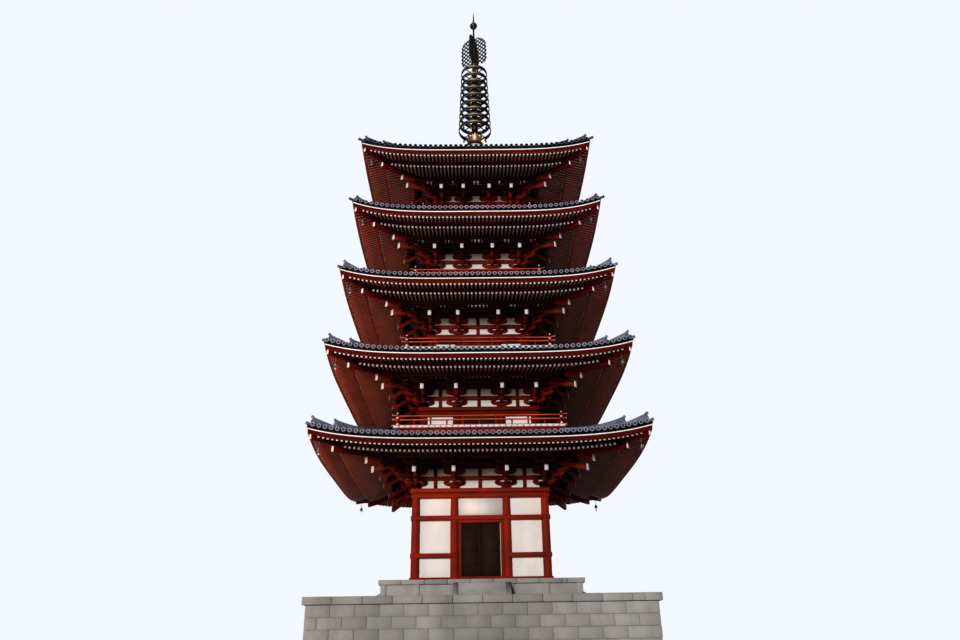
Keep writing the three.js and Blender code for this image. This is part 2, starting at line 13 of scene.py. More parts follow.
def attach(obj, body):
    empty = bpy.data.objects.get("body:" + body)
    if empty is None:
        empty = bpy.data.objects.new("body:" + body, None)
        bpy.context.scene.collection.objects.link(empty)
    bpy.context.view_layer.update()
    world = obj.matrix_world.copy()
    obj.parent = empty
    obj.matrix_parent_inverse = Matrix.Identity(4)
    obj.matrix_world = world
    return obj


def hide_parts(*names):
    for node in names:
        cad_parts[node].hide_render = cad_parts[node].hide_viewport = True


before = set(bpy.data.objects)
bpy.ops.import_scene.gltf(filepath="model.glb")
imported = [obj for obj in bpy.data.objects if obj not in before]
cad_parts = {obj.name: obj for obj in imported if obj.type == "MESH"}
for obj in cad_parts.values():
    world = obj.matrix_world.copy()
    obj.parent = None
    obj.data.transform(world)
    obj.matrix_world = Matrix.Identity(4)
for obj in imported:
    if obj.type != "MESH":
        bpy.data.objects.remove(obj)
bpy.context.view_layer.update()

bl_info = {
    "name": "Five-storied Pagoda Looks",
    "version": (1, 0, 0),
    "blender": (4, 5, 0),
    "location": "View3D > Sidebar > Pagoda",
    "description": "Dresses the pagoda's frame with masonry, brackets, eaves, tiles, railings and a finial",
    "category": "Object",
}

# The tower's shapes are in metres at full size, and SCALE takes them to the model. Lights, camera,
# materials and properties are in metres of the model.
SCALE = 0.5
MASONRY_TOP, PODIUM_TOP, PLATFORM_TOP = 4.6, 5.0, 6.1

# floor, line, tip: levels of the floor, of the eave's middle and of its corner. column, eave, deck:
# half-widths to them. bay: width of the middle bay. beam: height of tie beam and wall plate together.
Storey = namedtuple("Storey", "number floor column bay eave line tip deck beam")
STOREYS = [
    Storey(1, PLATFORM_TOP, 3.85, 3.1, 9.45, 13.1, 13.73, 0.0, 0.55),
    Storey(2, 15.0, 3.5, 2.83, 8.93, 18.29, 18.91, 5.18, 0.55),
    Storey(3, 20.3, 3.12, 2.6, 8.42, 23.39, 24.06, 4.78, 0.55),
    Storey(4, 25.5, 2.86, 2.05, 7.96, 28.43, 29.17, 4.36, 0.4),
    Storey(5, 30.7, 2.46, 1.82, 7.64, 33.46, 34.05, 3.96, 0.4),
]
# Where a roof ends above: half-width and level of its tiles, sag of their slope, level of the boards
Upper = namedtuple("Upper", "half z sag seat")
APEX = Upper(1.0, 38.3, 0.35, 34.7)

STONE_GAP = 0.01
PAVED_HALF = 8.25
COLUMN_RADIUS = 0.25
WALL_FACE = -0.05
PLATE_TOP, PLATE_REACH = -1.64, 0.31
# Undersides of the bracket arms from the eave's line, and the outer purlin's reach from the columns
STEP_LEVELS, WALL_LEVELS, PURLIN_LEVEL = (-1.45, -1.1), (-1.45, -0.77), -0.55
STEP_REACHES, PURLIN_REACH = (0.5, 1.0), 1.9
TAIL_SLOPE = 0.48
RAFTER = (0.11, 0.13)
FLYING_END, FLYING_START, LOWER_END, TIER_STEP = 0.2, 1.55, 1.43, 1.5
CORNER_CURVE, EAVE_STATIONS = 4.2, 40
TILE_EDGE, TILE_RISE, TILE_RADIUS = 0.09, 0.23, 0.115
DECK_THICKNESS, DECK_BEAM = 0.15, 0.34
BOARD_WIDTH, BOARD_GAP = 0.36, 0.012
RAIL_INSET, RAIL_ENDS = 0.21, 0.34
WHEELS = 9
# How many struts stand between the clusters on one side, for each storey
STRUTS = (3, 3, 1, 0, 0)
MEMBER_SHIFT = 7.31

SIDE_NAMES = ("front", "right", "back", "left")
QUARTER = math.pi / 2
ROOT_2 = math.sqrt(2)
ACROSS = np.array((1.0, 0.0, 0.0))
OUTWARD = np.array((0.0, -1.0, 0.0))
RISE = np.array((0.0, 0.0, 1.0))
DIAGONAL = np.array((-1.0, -1.0, 0.0)) / ROOT_2
BESIDE_DIAGONAL = np.cross(RISE, DIAGONAL)


# Meshes

def spots(x, y, z):
    """Points whose coordinates are numbers or arrays."""
    return np.stack(np.broadcast_arrays(x, y, z), -1).astype(float)


def turned(points, angle):
    """Points turned about the tower's axis; quarter turns stay exact."""
    cos, sin = round(math.cos(angle), 15), round(math.sin(angle), 15)
    x, y, z = np.moveaxis(points, -1, 0)
    return np.stack((x * cos - y * sin, x * sin + y * cos, z), -1)


class Pile:
    """Points, faces and surface coordinates of one piece, gathered in batches."""

    def __init__(self):
        self.points, self.faces, self.uvs, self.count = [], [], [], 0

    def add(self, points, faces, uvs):
        self.points.append(points)
        self.faces += [face + self.count for face in faces]
        self.uvs += uvs
        self.count += len(points)

    def around(self, whole=None, quarters=range(4)):
        """This pile repeated at the sides of the tower, in a new pile or in a given one."""
        whole = whole or Pile()
        points = np.concatenate(self.points)
        for quarter in quarters:
            whole.add(turned(points, quarter * QUARTER), self.faces, self.uvs)
        return whole


def piled(shape, *values, **settings):
    """A new pile that holds one call of a shape's function."""
    pile = Pile()
    shape(pile, *values, **settings)
    return pile


def signed_area(outline):
    """Half the sum of cross products of neighbouring corners; positive where they run anticlockwise."""
    x, y = outline[..., 0], outline[..., 1]
    return 0.5 * np.sum(x * np.roll(y, -1, -1) - y * np.roll(x, -1, -1))


def girth(outline):
    """Distance along a closed outline to each corner and back to the first."""
    step = np.linalg.norm(np.roll(outline, -1, 0) - outline, axis=-1)
    return np.concatenate(([0], np.cumsum(step)))


def weave(points, u, v):
    """Indices, four-sided faces and surface coordinates of a grid of points.

    points: (m, n, k, 3). u: (m, n) along n. v: (k,) along k. One value more closes the grid that way.
    """
    index = np.arange(points.size // 3).reshape(points.shape[:3])
    after = np.roll(index, -1, 2)
    quads = np.stack((index, after, np.roll(after, -1, 1), np.roll(index, -1, 1)), -1)
    u0, v0 = np.broadcast_arrays(u[:, :-1, None], v[:-1])
    u1, v1 = np.broadcast_arrays(u[:, 1:, None], v[1:])
    uvs = np.stack([np.stack(pair, -1) for pair in ((u0, v0), (u0, v1), (u1, v1), (u1, v0))], 3)
    return index, quads[:, :u.shape[1] - 1, :len(v) - 1].reshape(-1, 4), uvs.reshape(-1, 4, 2)


def vectors(value, m, n):
    """One vector, one per path or one per path point, as an array for every path point."""
    value = np.asarray(value, float)
    return np.broadcast_to(value[:, None] if value.ndim == 2 else value, (m, n, 3))


def carry(pile, paths, outline, side=None, rise=None, along=None):
    """Carry closed outlines along paths, all paths at once.

    A point is path + side * outline x + rise * outline y. Side defaults to the level direction square
    to the path, and rise to the direction square to both. Four-sided faces join neighbouring outlines,
    and one face closes each end. paths: (m, n, 3). outline: (k, 2), (n, k, 2) or (m, n, k, 2).
    """
    paths, outline = np.asarray(paths, float), np.asarray(outline, float)
    m, n = paths.shape[:2]
    outline = np.broadcast_to(outline, (m, n, *outline.shape[-2:]))
    if side is None:
        way = np.gradient(paths, axis=1)
        side = np.cross(RISE, way)
        side /= np.linalg.norm(side, axis=-1, keepdims=True)
        rise = np.cross(way, side)
        rise /= np.linalg.norm(rise, axis=-1, keepdims=True)
    side, rise = vectors(side, m, n), vectors(rise, m, n)
    points = paths[:, :, None] + side[:, :, None] * outline[..., :1] + rise[:, :, None] * outline[..., 1:]
    if along is None:
        step = np.linalg.norm(np.diff(paths, axis=1), axis=-1)
        along = np.concatenate((np.zeros((m, 1)), np.cumsum(step, 1)), 1)
        along += MEMBER_SHIFT * np.arange(m)[:, None]
    index, quads, quad_uvs = weave(points, along, girth(outline[0, 0]))
    shift = np.stack((along[:, :1], np.zeros((m, 1))), -1)
    faces = [quads, index[:, 0, ::-1], index[:, -1]]
    uvs = [quad_uvs, outline[:, 0, ::-1] + shift, outline[:, -1] + shift]
    facing = np.sum((paths[0, -1] - paths[0, 0]) * np.cross(side[0, 0], rise[0, 0]))
    if facing * signed_area(outline[0, 0]) < 0:
        faces, uvs = [face[:, ::-1] for face in faces], [uv[:, ::-1] for uv in uvs]
    pile.add(points.reshape(-1, 3), faces, uvs)


def oblong(width, height, low=None):
    """Corners of a rectangle centred on the path, or with its lower edge at the height low."""
    bottom = -height / 2 if low is None else low
    half = width / 2
    return np.array(((-half, bottom), (half, bottom), (half, bottom + height), (-half, bottom + height)))


def circle(radius, sides, turn=0.0):
    """Points of a circle: (radius cos a, radius sin a)."""
    angle = turn + np.arange(sides) * 2 * math.pi / sides
    return radius * np.stack((np.cos(angle), np.sin(angle)), 1)


def circles(radii, sides):
    """One circle for each radius."""
    return np.stack([circle(radius, sides) for radius in radii])


def bars(pile, starts, ends, width, height):
    """Straight square-edged bars between pairs of points."""
    carry(pile, np.stack((np.atleast_2d(starts), np.atleast_2d(ends)), 1), oblong(width, height))


def boxes(pile, low, high):
    """Upright boxes between pairs of opposite corners."""
    low, high = np.atleast_2d(np.asarray(low, float)), np.atleast_2d(np.asarray(high, float))
    paths = np.stack(((low + high) / 2,) * 2, 1)
    paths[:, 0, 2], paths[:, 1, 2] = low[:, 2], high[:, 2]
    corners = np.array(((-1, -1), (1, -1), (1, 1), (-1, 1)))
    outline = ((high - low)[:, None, :2] / 2 * corners)[:, None]
    carry(pile, paths, np.broadcast_to(outline, (len(low), 2, 4, 2)), ACROSS, -OUTWARD)


def slab(pile, half, low, high):
    """A square block round the tower's axis."""
    boxes(pile, (-half, -half, low), (half, half, high))


def row_of_boxes(reach, count, gap, low, high):
    """Low and high corners of boxes in a row from -reach to reach; low and high give their y and z."""
    cuts = np.linspace(-reach, reach, count + 1)
    return spots(cuts[:-1] + gap, *low), spots(cuts[1:] - gap, *high)


def stacks(pile, feet, levels, halves, turn=0.0):
    """Upright square blocks whose half-width changes with height, such as bearing blocks and posts.

    feet: (m, 3) bottom centres. levels and halves: heights above the foot and half-widths there.
    """
    paths = np.atleast_2d(np.asarray(feet, float))[:, None] + RISE * np.asarray(levels)[None, :, None]
    outline = circle(ROOT_2, 4, turn + math.pi / 4) * np.asarray(halves)[:, None, None]
    carry(pile, paths, outline, ACROSS, -OUTWARD)


def lathe(pile, profile, centres=((0.0, 0.0),), sides=24, loop=False, base=0.0):
    """Surface of revolution about upright axes: (r cos a, r sin a, z).

    The profile rises on its outer side. Its two ends are closed by one face each, or, where loop is
    true, its last point joins its first.
    """
    profile = np.asarray(profile, float)
    if loop and signed_area(profile) < 0:
        profile = profile[::-1]
    ring, m = circle(1.0, sides), len(centres)
    radius, z = profile.T
    flat = np.asarray(centres, float)[:, None, None] + ring[:, None] * radius[:, None]
    points = spots(flat[..., 0], flat[..., 1], base + z)
    swing = np.arange(sides + 1) * 2 * math.pi / sides * radius.max()
    length = girth(profile)
    index, quads, uvs = weave(points, np.tile(swing, (m, 1)), length if loop else length[:-1])
    faces, uvs = [quads[:, (0, 3, 2, 1)]], [uvs[:, (0, 3, 2, 1)]]
    if not loop:
        faces += [index[:, ::-1, 0], index[:, :, -1]]
        uvs += [np.tile(ring[::-1] * radius[0], (m, 1, 1)), np.tile(ring * radius[-1], (m, 1, 1))]
    pile.add(points.reshape(-1, 3), faces, uvs)


def square_ring(pile, profile, storey=None, stations=1):
    """A closed profile of (half-width, height) carried round the square tower.

    At a share s of the half side a point is (s * half, -half, height), turned to each side. With a
    storey the height also gains corner_lift, which curves the eaves up towards the corners.
    """
    profile = np.asarray(profile, float)
    if signed_area(profile) > 0:
        profile = profile[::-1]
    half, z = profile.T
    share = np.linspace(-1, 1, stations + 1)[:-1]
    if stations > 1:
        share = np.sign(share) * (1 - (1 - np.abs(share)) ** 1.4)
    x = share[:, None] * half
    front = spots(x, -half, z + corner_lift(storey, half, x) if storey else z)
    points = np.concatenate([turned(front, quarter * QUARTER) for quarter in range(4)])
    run = np.concatenate([quarter * 2 * half.max() + x.mean(1) for quarter in range(5)])
    _, quads, uvs = weave(points[None], run[None, :4 * stations + 1], girth(profile))
    pile.add(points.reshape(-1, 3), [quads], [uvs])


def square_beam(pile, inner, outer, low, high):
    """A beam round the tower between two half-widths and two levels."""
    square_ring(pile, ((inner, low), (outer, low), (outer, high), (inner, high)))


def make(name, pile, finish, storey=None, node=None, smooth=0.0, bevel=0.0):
    """Put a pile into a mesh object and name its body and the node that it stands for.

    With a storey, its number ends both names. smooth: angle in degrees under which neighbouring faces
    shade as one; at 0 the mesh keeps its first state, in which all of them do. bevel: width of the
    chamfer on sharp edges.
    """
    ending = "_%d" % storey.number if storey else ""
    mesh = bpy.data.meshes.new(name + ending)
    points = np.concatenate(pile.points) * SCALE
    corners = np.concatenate([face.ravel() for face in pile.faces])
    sizes = np.concatenate([np.full(len(face), face.shape[1]) for face in pile.faces])
    mesh.vertices.add(len(points))
    mesh.vertices.foreach_set("co", points.astype(np.float32).ravel())
    mesh.loops.add(len(corners))
    mesh.loops.foreach_set("vertex_index", corners.astype(np.int32))
    mesh.polygons.add(len(sizes))
    first = np.concatenate(([0], np.cumsum(sizes)[:-1]))
    mesh.polygons.foreach_set("loop_start", first.astype(np.int32))
    mesh.update(calc_edges=True)
    flat = np.concatenate([uv.ravel() for uv in pile.uvs])
    mesh.uv_layers.new(name="Surface").data.foreach_set("uv", flat.astype(np.float32))
    if smooth:
        mesh.polygons.foreach_set("use_smooth", np.ones(len(sizes), bool))
        mesh.set_sharp_from_angle(angle=math.radians(smooth))
    material, slot = finishes[finish]
    mesh.materials.append(material)
    piece = bpy.data.objects.new(name + ending, mesh)
    bpy.context.scene.collection.objects.link(piece)
    if bevel:
        chamfer = piece.modifiers.new("Chamfer", "BEVEL")
        chamfer.width = bevel * SCALE
        chamfer.segments = 1
        chamfer.limit_method = "ANGLE"
    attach(piece, "root")
    if node:
        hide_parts(node + ending)


# Curves of the roofs

def corner_lift(storey, half, along):
    """(tip - line) * ((half - column) / (eave - column))^2 * |along / half|^4.2."""
    share = np.clip((half - storey.column) / (storey.eave - storey.column), 0, None)
    return (storey.tip - storey.line) * share ** 2 * np.abs(along / half) ** CORNER_CURVE


def upper_end(storey):
    """Where a roof ends above: under the next balcony, or at the foot of the finial."""
    if storey.number == len(STOREYS):
        return APEX
    over = STOREYS[storey.number]
    under_beam = over.floor - DECK_THICKNESS - DECK_BEAM
    return Upper(over.deck - 0.1, under_beam, 0.1, under_beam)


def roof_height(storey, half, along=0.0):
    """Height of the tile bed: a straight slope less sag * 4 t (1 - t), plus the corner lift."""
    upper = upper_end(storey)
    edge = storey.eave + TILE_EDGE
    share = (half - edge) / (upper.half - edge)
    low = storey.line + TILE_RISE
    slope = low + (upper.z - low) * share - upper.sag * 4 * share * (1 - share)
    return slope + corner_lift(storey, half, along)


def flying_under(storey, half):
    """Underside of the flying rafters, which rise 0.27 for each metre inwards."""
    return storey.line - 0.37 + 0.27 * (storey.eave - 0.12 - half)


def lower_under(storey, half):
    """Underside of the lower rafters, which rise 0.22 for each metre inwards."""
    return storey.line - 0.405 + 0.22 * (storey.eave - LOWER_END - half)


# Materials

def shader_node(tree, kind, inputs=None, **settings):
    """A node with its settings, and its inputs linked or set."""
    node = tree.nodes.new(kind)
    for key, value in settings.items():
        setattr(node, key, value)
    for key, value in (inputs or {}).items():
        if isinstance(value, bpy.types.NodeSocket):
            tree.links.new(value, node.inputs[key])
        else:
            node.inputs[key].default_value = value
    return node


def blend(tree, amount, first, second, mode="MIX"):
    """Colour mix of two colours or sockets."""
    ends = [value if isinstance(value, bpy.types.NodeSocket) else (*value, 1.0) for value in (first, second)]
    node = shader_node(tree, "ShaderNodeMix", {0: amount, 6: ends[0], 7: ends[1]}, data_type="RGBA",
                       blend_type=mode)
    return node.outputs[2]


def ramp(tree, value, low, high, out_low=0.0, out_high=1.0):
    """Linear map of a value from the range low to high."""
    inputs = {0: value, 1: low, 2: high, 3: out_low, 4: out_high}
    return shader_node(tree, "ShaderNodeMapRange", inputs).outputs[0]


def noise(tree, vector, scale, detail=4.0, roughness=0.55, stretch=(1, 1, 1)):
    """Soft noise over coordinates that may be stretched."""
    mapping = shader_node(tree, "ShaderNodeMapping", {"Vector": vector, "Scale": stretch})
    return shader_node(tree, "ShaderNodeTexNoise", {"Vector": mapping.outputs[0], "Scale": scale,
                                                    "Detail": detail, "Roughness": roughness}).outputs["Fac"]


def gray(tree, value):
    """A value as a colour."""
    return shader_node(tree, "ShaderNodeCombineColor", {0: value, 1: value, 2: value}).outputs[0]


def height_of(tree, vector):
    """The third coordinate of a vector."""
    return shader_node(tree, "ShaderNodeSeparateXYZ", {0: vector}).outputs["Z"]


def cell_tone(tree, vector):
    """A random value for each unit square of the surface coordinates."""
    cell = shader_node(tree, "ShaderNodeVectorMath", {0: vector}, operation="FLOOR").outputs[0]
    node = shader_node(tree, "ShaderNodeTexWhiteNoise", {"Vector": cell}, noise_dimensions="2D")
    return node.outputs["Value"]


def start_material(name, roughness=0.5, metallic=0.0, gloss=0.3):
    """A new material, its tree and shader, and the object's and the surface's coordinates."""
    material = bpy.data.materials.new(name)
    material.use_nodes = True
    tree = material.node_tree
    shader = tree.nodes["Principled BSDF"]
    for key, value in (("Roughness", roughness), ("Metallic", metallic), ("Specular IOR Level", gloss)):
        shader.inputs[key].default_value = value
    coordinates = shader_node(tree, "ShaderNodeTexCoord")
    return material, tree, shader, coordinates.outputs["Object"], coordinates.outputs["UV"]


def set_surface(tree, shader, colour, roughness=None, height=None, depth=0.0):
    """Link a colour, and where given a roughness and a height for bump."""
    tree.links.new(colour, shader.inputs["Base Color"])
    if roughness is not None:
        tree.links.new(roughness, shader.inputs["Roughness"])
    if height is not None:
        bump = shader_node(tree, "ShaderNodeBump", {"Strength": 0.6, "Distance": depth, "Height": height})
        tree.links.new(bump.outputs[0], shader.inputs["Normal"])


def painted_timber(name, paint, worn, under=None, gloss=0.12, smoothness=0.0):
    """Paint on sawn timber: grain along each member, faded patches, a little grime.

    With a colour for under, faces that look down take that colour: painted sheen on the rafters' undersides
    and painted light from below on the fascias' undersides.
    """
    material, tree, shader, place, surface = start_material(name, gloss=gloss)
    grain = noise(tree, surface, 1.6, 6.0, 0.6, (1.2, 26, 1))
    colour = blend(tree, ramp(tree, noise(tree, place, 1.1), 0.35, 0.7), paint, worn)
    if under is not None:
        # Faces that look down are tinted as painted sheen or painted light from below
        down = height_of(tree, shader_node(tree, "ShaderNodeNewGeometry").outputs["Normal"])
        colour = blend(tree, ramp(tree, down, -0.6, -0.9), colour, under)
    colour = blend(tree, 1.0, colour, gray(tree, ramp(tree, grain, 0.3, 0.7, 0.78, 1.12)), "MULTIPLY")
    rough = ramp(tree, noise(tree, place, 34.0, 3.0), 0.3, 0.7, 0.55 - smoothness, 0.75 - smoothness)
    set_surface(tree, shader, colour, rough, grain, 0.004)
    return material


def white_paint(name, colour):
    """White paint with a little dirt."""
    material, tree, shader, place, _ = start_material(name, 0.55)
    fine = noise(tree, place, 60.0, 3.0)
    tinted = blend(tree, ramp(tree, noise(tree, place, 6.0, 5.0), 0.45, 0.75), colour, colour * 0.8)
    set_surface(tree, shader, tinted, ramp(tree, fine, 0.3, 0.7, 0.45, 0.65), fine, 0.001)
    return material


def lime_plaster(name, colour, line=None):
    """Trowelled lime plaster with faint stains and fine grit.

    With the height of an eave's line, the plaster darkens in bands towards the eave: painted shade of the
    eave, then warm painted bounce light, then deep painted shade just under the eave.
    """
    material, tree, shader, place, _ = start_material(name, 0.85)
    stain = ramp(tree, noise(tree, place, 1.4, 5.0, 0.6, (1, 1, 0.35)), 0.4, 0.75)
    trowel, grit = noise(tree, place, 9.0, 3.0), noise(tree, place, 90.0, 2.0)
    tinted = blend(tree, stain, colour, colour * (0.8, 0.77, 0.7))
    # Bands of painted shade and warm painted bounce light under the eave
    for low, high, tone in ((1.8, 1.1, (0.56, 0.53, 0.52)), (1.12, 0.9, (0.95, 0.8, 0.58)),
                            (0.92, 0.3, (0.27, 0.23, 0.19))) if line else ():
        eave_shade = ramp(tree, height_of(tree, place), (line - low) * SCALE, (line - high) * SCALE)
        tinted = blend(tree, eave_shade, tinted, colour * tone)
    height = blend(tree, 0.3, gray(tree, trowel), gray(tree, grit))
    set_surface(tree, shader, tinted, ramp(tree, grit, 0.3, 0.7, 0.75, 0.95), height, 0.003)
    return material


def clay_tile(name, colour, light, gloss=0.3):
    """Smoked clay tile: each tile has its own tone, with pale bloom and darker grime."""
    material, tree, shader, place, surface = start_material(name, gloss=gloss)
    tone = cell_tone(tree, surface)
    grime = ramp(tree, noise(tree, place, 2.2, 5.0, 0.6), 0.38, 0.72)
    speck = noise(tree, place, 48.0, 4.0, 0.65)
    tinted = blend(tree, grime, blend(tree, tone, colour, light), colour * 0.62)
    tinted = blend(tree, 1.0, tinted, gray(tree, ramp(tree, speck, 0.3, 0.7, 0.85, 1.15)), "MULTIPLY")
    set_surface(tree, shader, tinted, ramp(tree, tone, 0.0, 1.0, 0.38, 0.62), speck, 0.0025)
    return material


def cut_stone(name, colour):
    """Granite: mineral specks, a tone of its own for each block, faint water stains."""
    material, tree, shader, place, surface = start_material(name, 0.8)
    inputs = {0: surface, 1: (1 / MEMBER_SHIFT, 0, 0), 2: (0.5, 0, 0)}
    number = shader_node(tree, "ShaderNodeVectorMath", inputs, operation="MULTIPLY_ADD")
    speck = shader_node(tree, "ShaderNodeTexVoronoi", {"Vector": place, "Scale": 130.0}).outputs["Color"]
    stain = ramp(tree, noise(tree, place, 0.9, 6.0, 0.6, (1, 1, 0.4)), 0.4, 0.75)
    rough_face = noise(tree, place, 26.0, 6.0, 0.7)
    block = blend(tree, cell_tone(tree, number.outputs[0]), colour * 0.82, colour * 1.12)
    tinted = blend(tree, stain, blend(tree, 0.12, block, speck, "OVERLAY"), colour * 0.6)
    set_surface(tree, shader, tinted, ramp(tree, rough_face, 0.3, 0.7, 0.7, 0.9), rough_face, 0.006)
    return material


def cast_metal(name, colour, patina, share, roughness, metallic=1.0):
    """Cast metal with patches of patina; share moves the balance towards the patina."""
    material, tree, shader, place, _ = start_material(name, roughness, metallic)
    patches = ramp(tree, noise(tree, place, 7.0, 6.0, 0.65), 0.62 - share, 0.78 - share)
    fine = noise(tree, place, 70.0, 4.0, 0.6)
    rough = ramp(tree, fine, 0.25, 0.75, roughness - 0.1, roughness + 0.2)
    set_surface(tree, shader, blend(tree, patches, colour, patina), rough, fine, 0.0015)
    return material


finishes = {}


def build_finishes(colours):
    """Every finish by name, as its material and the slot that it fills."""
    c = SimpleNamespace(**{name: np.array(getattr(colours, name)) for name in colours.__annotations__})
    plasters = {"plaster_%d" % storey.number: (c.plaster, storey.line) for storey in STOREYS}
    for slot, maker, rows in (
            ("vermilion", painted_timber, {
                "paint": (c.vermilion, c.faded),
                "trim": (c.trim, c.trim * 0.7, None, 0.06),
                "fascia": (c.trim, c.trim * 0.7, c.fascia_under, 0.06),
                "shaded": (c.shaded, c.shaded * 0.6, None, 0.08),
                "bracket": (c.bracket, c.sheltered),
                "tail": (c.tail, c.tail * 0.6),
                # Painted shade deep under the eaves
                "sheltered": (c.sheltered, c.sheltered * 0.6),
                # The flying tier's copy is lighter and the lower tier's darker: painted light and painted
                # shade
                "flying_rafters": (c.rafter * 1.35, c.rafter * 0.8, c.dust * 1.05),
                "lower_rafters": (c.rafter * 0.8, c.rafter * 0.5, c.dust * 0.82),
                "rail": (c.rail, c.vermilion, None, 0.25, 0.15)}),
            ("door_timber", painted_timber, {"door": (c.door, c.door * 0.5)}),
            ("white_paint", white_paint, {"white": (c.white,), "worn_white": (c.white * 0.72,)}),
            ("plaster", lime_plaster, {
                "plaster": (c.plaster,), "cove": (c.plaster,), "dim_cove": (c.plaster * 0.65,), **plasters}),
            ("roof_tile", clay_tile, {
                # Pans darker than covers as painted shade in the valleys, covers lighter as painted light on
                # their tops
                "tile": (c.tile, c.tile * 1.8),
                "tile_cover": (c.tile_light, c.tile_light * 1.5),
                # Edge rims lighter as painted highlights, disc faces darker as painted shade
                "tile_edge": (c.tile_light * 1.8, c.tile_light * 2.5),
                "tile_face": (c.tile * 0.45, c.tile * 0.8),
                # Painted shade: a nearly black copy of the tile for the bed, aprons and disc faces where tiles
                # shade each other
                "tile_dark": (c.tile * 0.04, c.tile * 0.1, 0.05)}),
            ("stone", cut_stone, {"stone": (c.stone,)}),
            ("bronze", cast_metal, {
                "bronze": (c.bronze, c.bronze * 0.45, 0.1, 0.42),
                "gilt": (c.gilt, c.bronze, 0.0, 0.34),
                "plate_gilt": (c.gilt * 1.5, c.gilt, 0.0, 0.4),
                "brown": (c.brown, c.bronze, 0.12, 0.45),
                "bowl": (c.pale_bowl, c.pale_bowl * 0.8, 0.05, 0.6, 0.2),
                "bell": (c.bell, c.bell * 0.7, 0.05, 0.5)})):
        for name, values in rows.items():
            finishes[name] = maker(name + " finish", *values), slot


def dress(node, finish):
    """Give a kept node of the frame its finish."""
    for slot in bpy.data.objects[node].material_slots:
        slot.material = finishes[finish][0]


# Podium, platform and steps

def coping(half, inner, bottom, top, count):
    """Coping stones on four sides; each side stops where the next one's corner stone begins."""
    low, high = row_of_boxes(half, count, STONE_GAP, (-half, bottom), (-inner, top))
    low[0, 0], high[-1, 0] = -half, inner - STONE_GAP
    return piled(boxes, low, high).around()


def make_podium():
    """Blocks in running bond over a plinth, and paving inside a border of coping stones."""
    half, low, courses, length = 8.98, 0.5, 7, 1.25
    height = (MASONRY_TOP - low) / courses
    side = Pile()
    for course in range(courses):
        bottom = low + course * height
        cuts = np.arange(-half + (length / 2 if course % 2 else 0), half, length)
        cuts = np.unique(np.concatenate(([-half], cuts, [half])))
        cuts = cuts[np.concatenate(([True], np.diff(cuts) > length * 0.2))]
        cuts[-1] = half
        start = cuts[:-1] + STONE_GAP
        proud = 0.012 * np.sin(start * 5.1 + course * 2.3)
        boxes(side, spots(start, -half - proud, bottom + STONE_GAP),
              spots(cuts[1:] - STONE_GAP, 0.5 - half, bottom + height - STONE_GAP))
    blocks = side.around()
    square_ring(blocks, ((9.2, 0), (9.2, 0.42), (9.12, 0.5), (8.4, 0.5), (8.4, 0)))
    make("podium_masonry", blocks, "stone", node="podium", bevel=0.015)
    make("podium_core", piled(slab, 8.93, 0.3, MASONRY_TOP), "stone")
    border = coping(9.15, PAVED_HALF, MASONRY_TOP + 0.02, PODIUM_TOP, 12)
    slab(border, 8.3, MASONRY_TOP, 4.95)
    make("podium_coping_stones", border, "stone", node="podium_coping", bevel=0.015)
    rows = np.linspace(-PAVED_HALF, PAVED_HALF, 12)[:-1] + STONE_GAP
    low = spots(rows[:, None], rows, MASONRY_TOP).reshape(-1, 3)
    make("podium_paving", piled(boxes, low, low + (1.48, 1.48, 0.385)), "stone", bevel=0.01)


def make_platform():
    """Sill, upright stones with recessed panels between them, a coping, and the cheeks of the steps."""
    uprights = np.array((-5.45, -3.6, -1.6, 1.6, 3.6))
    low, high = spots(uprights - 0.15, -5.6, 5.15), spots(uprights + 0.15, -5.3, 5.86)
    stones = piled(boxes, low, high).around()
    square_ring(stones, ((5.64, PODIUM_TOP), (5.64, 5.16), (5.2, 5.16), (5.2, PODIUM_TOP)))
    slab(stones, 5.52, 5.02, 5.87)
    make("platform_panels", stones, "stone", node="stone_platform", bevel=0.012)
    top = coping(5.72, 4.75, 5.85, PLATFORM_TOP, 9)
    slab(top, 4.8, 5.87, 6.085)
    make("platform_coping", top, "stone", bevel=0.015)
    cheeks = Pile()
    for x in (-1.45, 1.45):
        outline = ((5.58, PODIUM_TOP), (7.25, PODIUM_TOP), (7.25, 5.12), (5.58, 6.0))
        carry(cheeks, [[(x - 0.14, 0, 0), (x + 0.14, 0, 0)]], outline, OUTWARD, RISE)
    make("step_cheeks", cheeks.around(), "stone", bevel=0.012)
    for side in SIDE_NAMES:
        dress("steps_" + side, "stone")


# Walls, columns and doors

def make_body(storey):
    """Twelve columns on a square grid, a tie beam and a wall plate over them, and a sill."""
    c, floor = storey.column, storey.floor
    ground = storey.number == 1
    paint = "paint" if ground else "shaded"
    top = storey.line + PLATE_TOP
    tie = top - storey.beam
    grid = (-c, -storey.bay / 2, storey.bay / 2, c)
    places = [(x, y) for x in grid for y in grid if c in (abs(x), abs(y))]
    shaft = [(COLUMN_RADIUS * width, (tie - floor) * share)
             for width, share in ((1.0, 0.0), (1.0, 0.5), (0.97, 0.85), (0.9, 1.0))]
    make("columns", piled(lathe, shaft, places, 20, base=floor), paint, storey, "timber_frame", smooth=40)
    beams = Pile()
    inner, lintel, plate = c + WALL_FACE + 0.001, tie + storey.beam * 0.36, top - storey.beam * 0.44
    for reach, low, high in ((PLATE_REACH, plate, top), (0.28, tie, lintel),
                             (0.12, lintel - 0.01, plate + 0.01), (0.3, floor, floor + 0.26)):
        square_beam(beams, inner, c + reach, low, high)
    if ground:
        square_beam(beams, inner, c + 0.28, floor + 3.5, floor + 3.75)
        rails = Pile()
        for x0, x1 in ((-c - 0.28, -storey.bay / 2 + 0.2), (storey.bay / 2 - 0.2, c - 0.06)):
            boxes(rails, (x0, -c - 0.28, floor + 1.35), (x1, -inner, floor + 1.6))
        rails.around(beams)
    make("wall_beams", beams, paint, storey, bevel=0.02)
    dress("walls_%d" % storey.number, "plaster_%d" % storey.number)
    make_doors(storey, tie, paint)


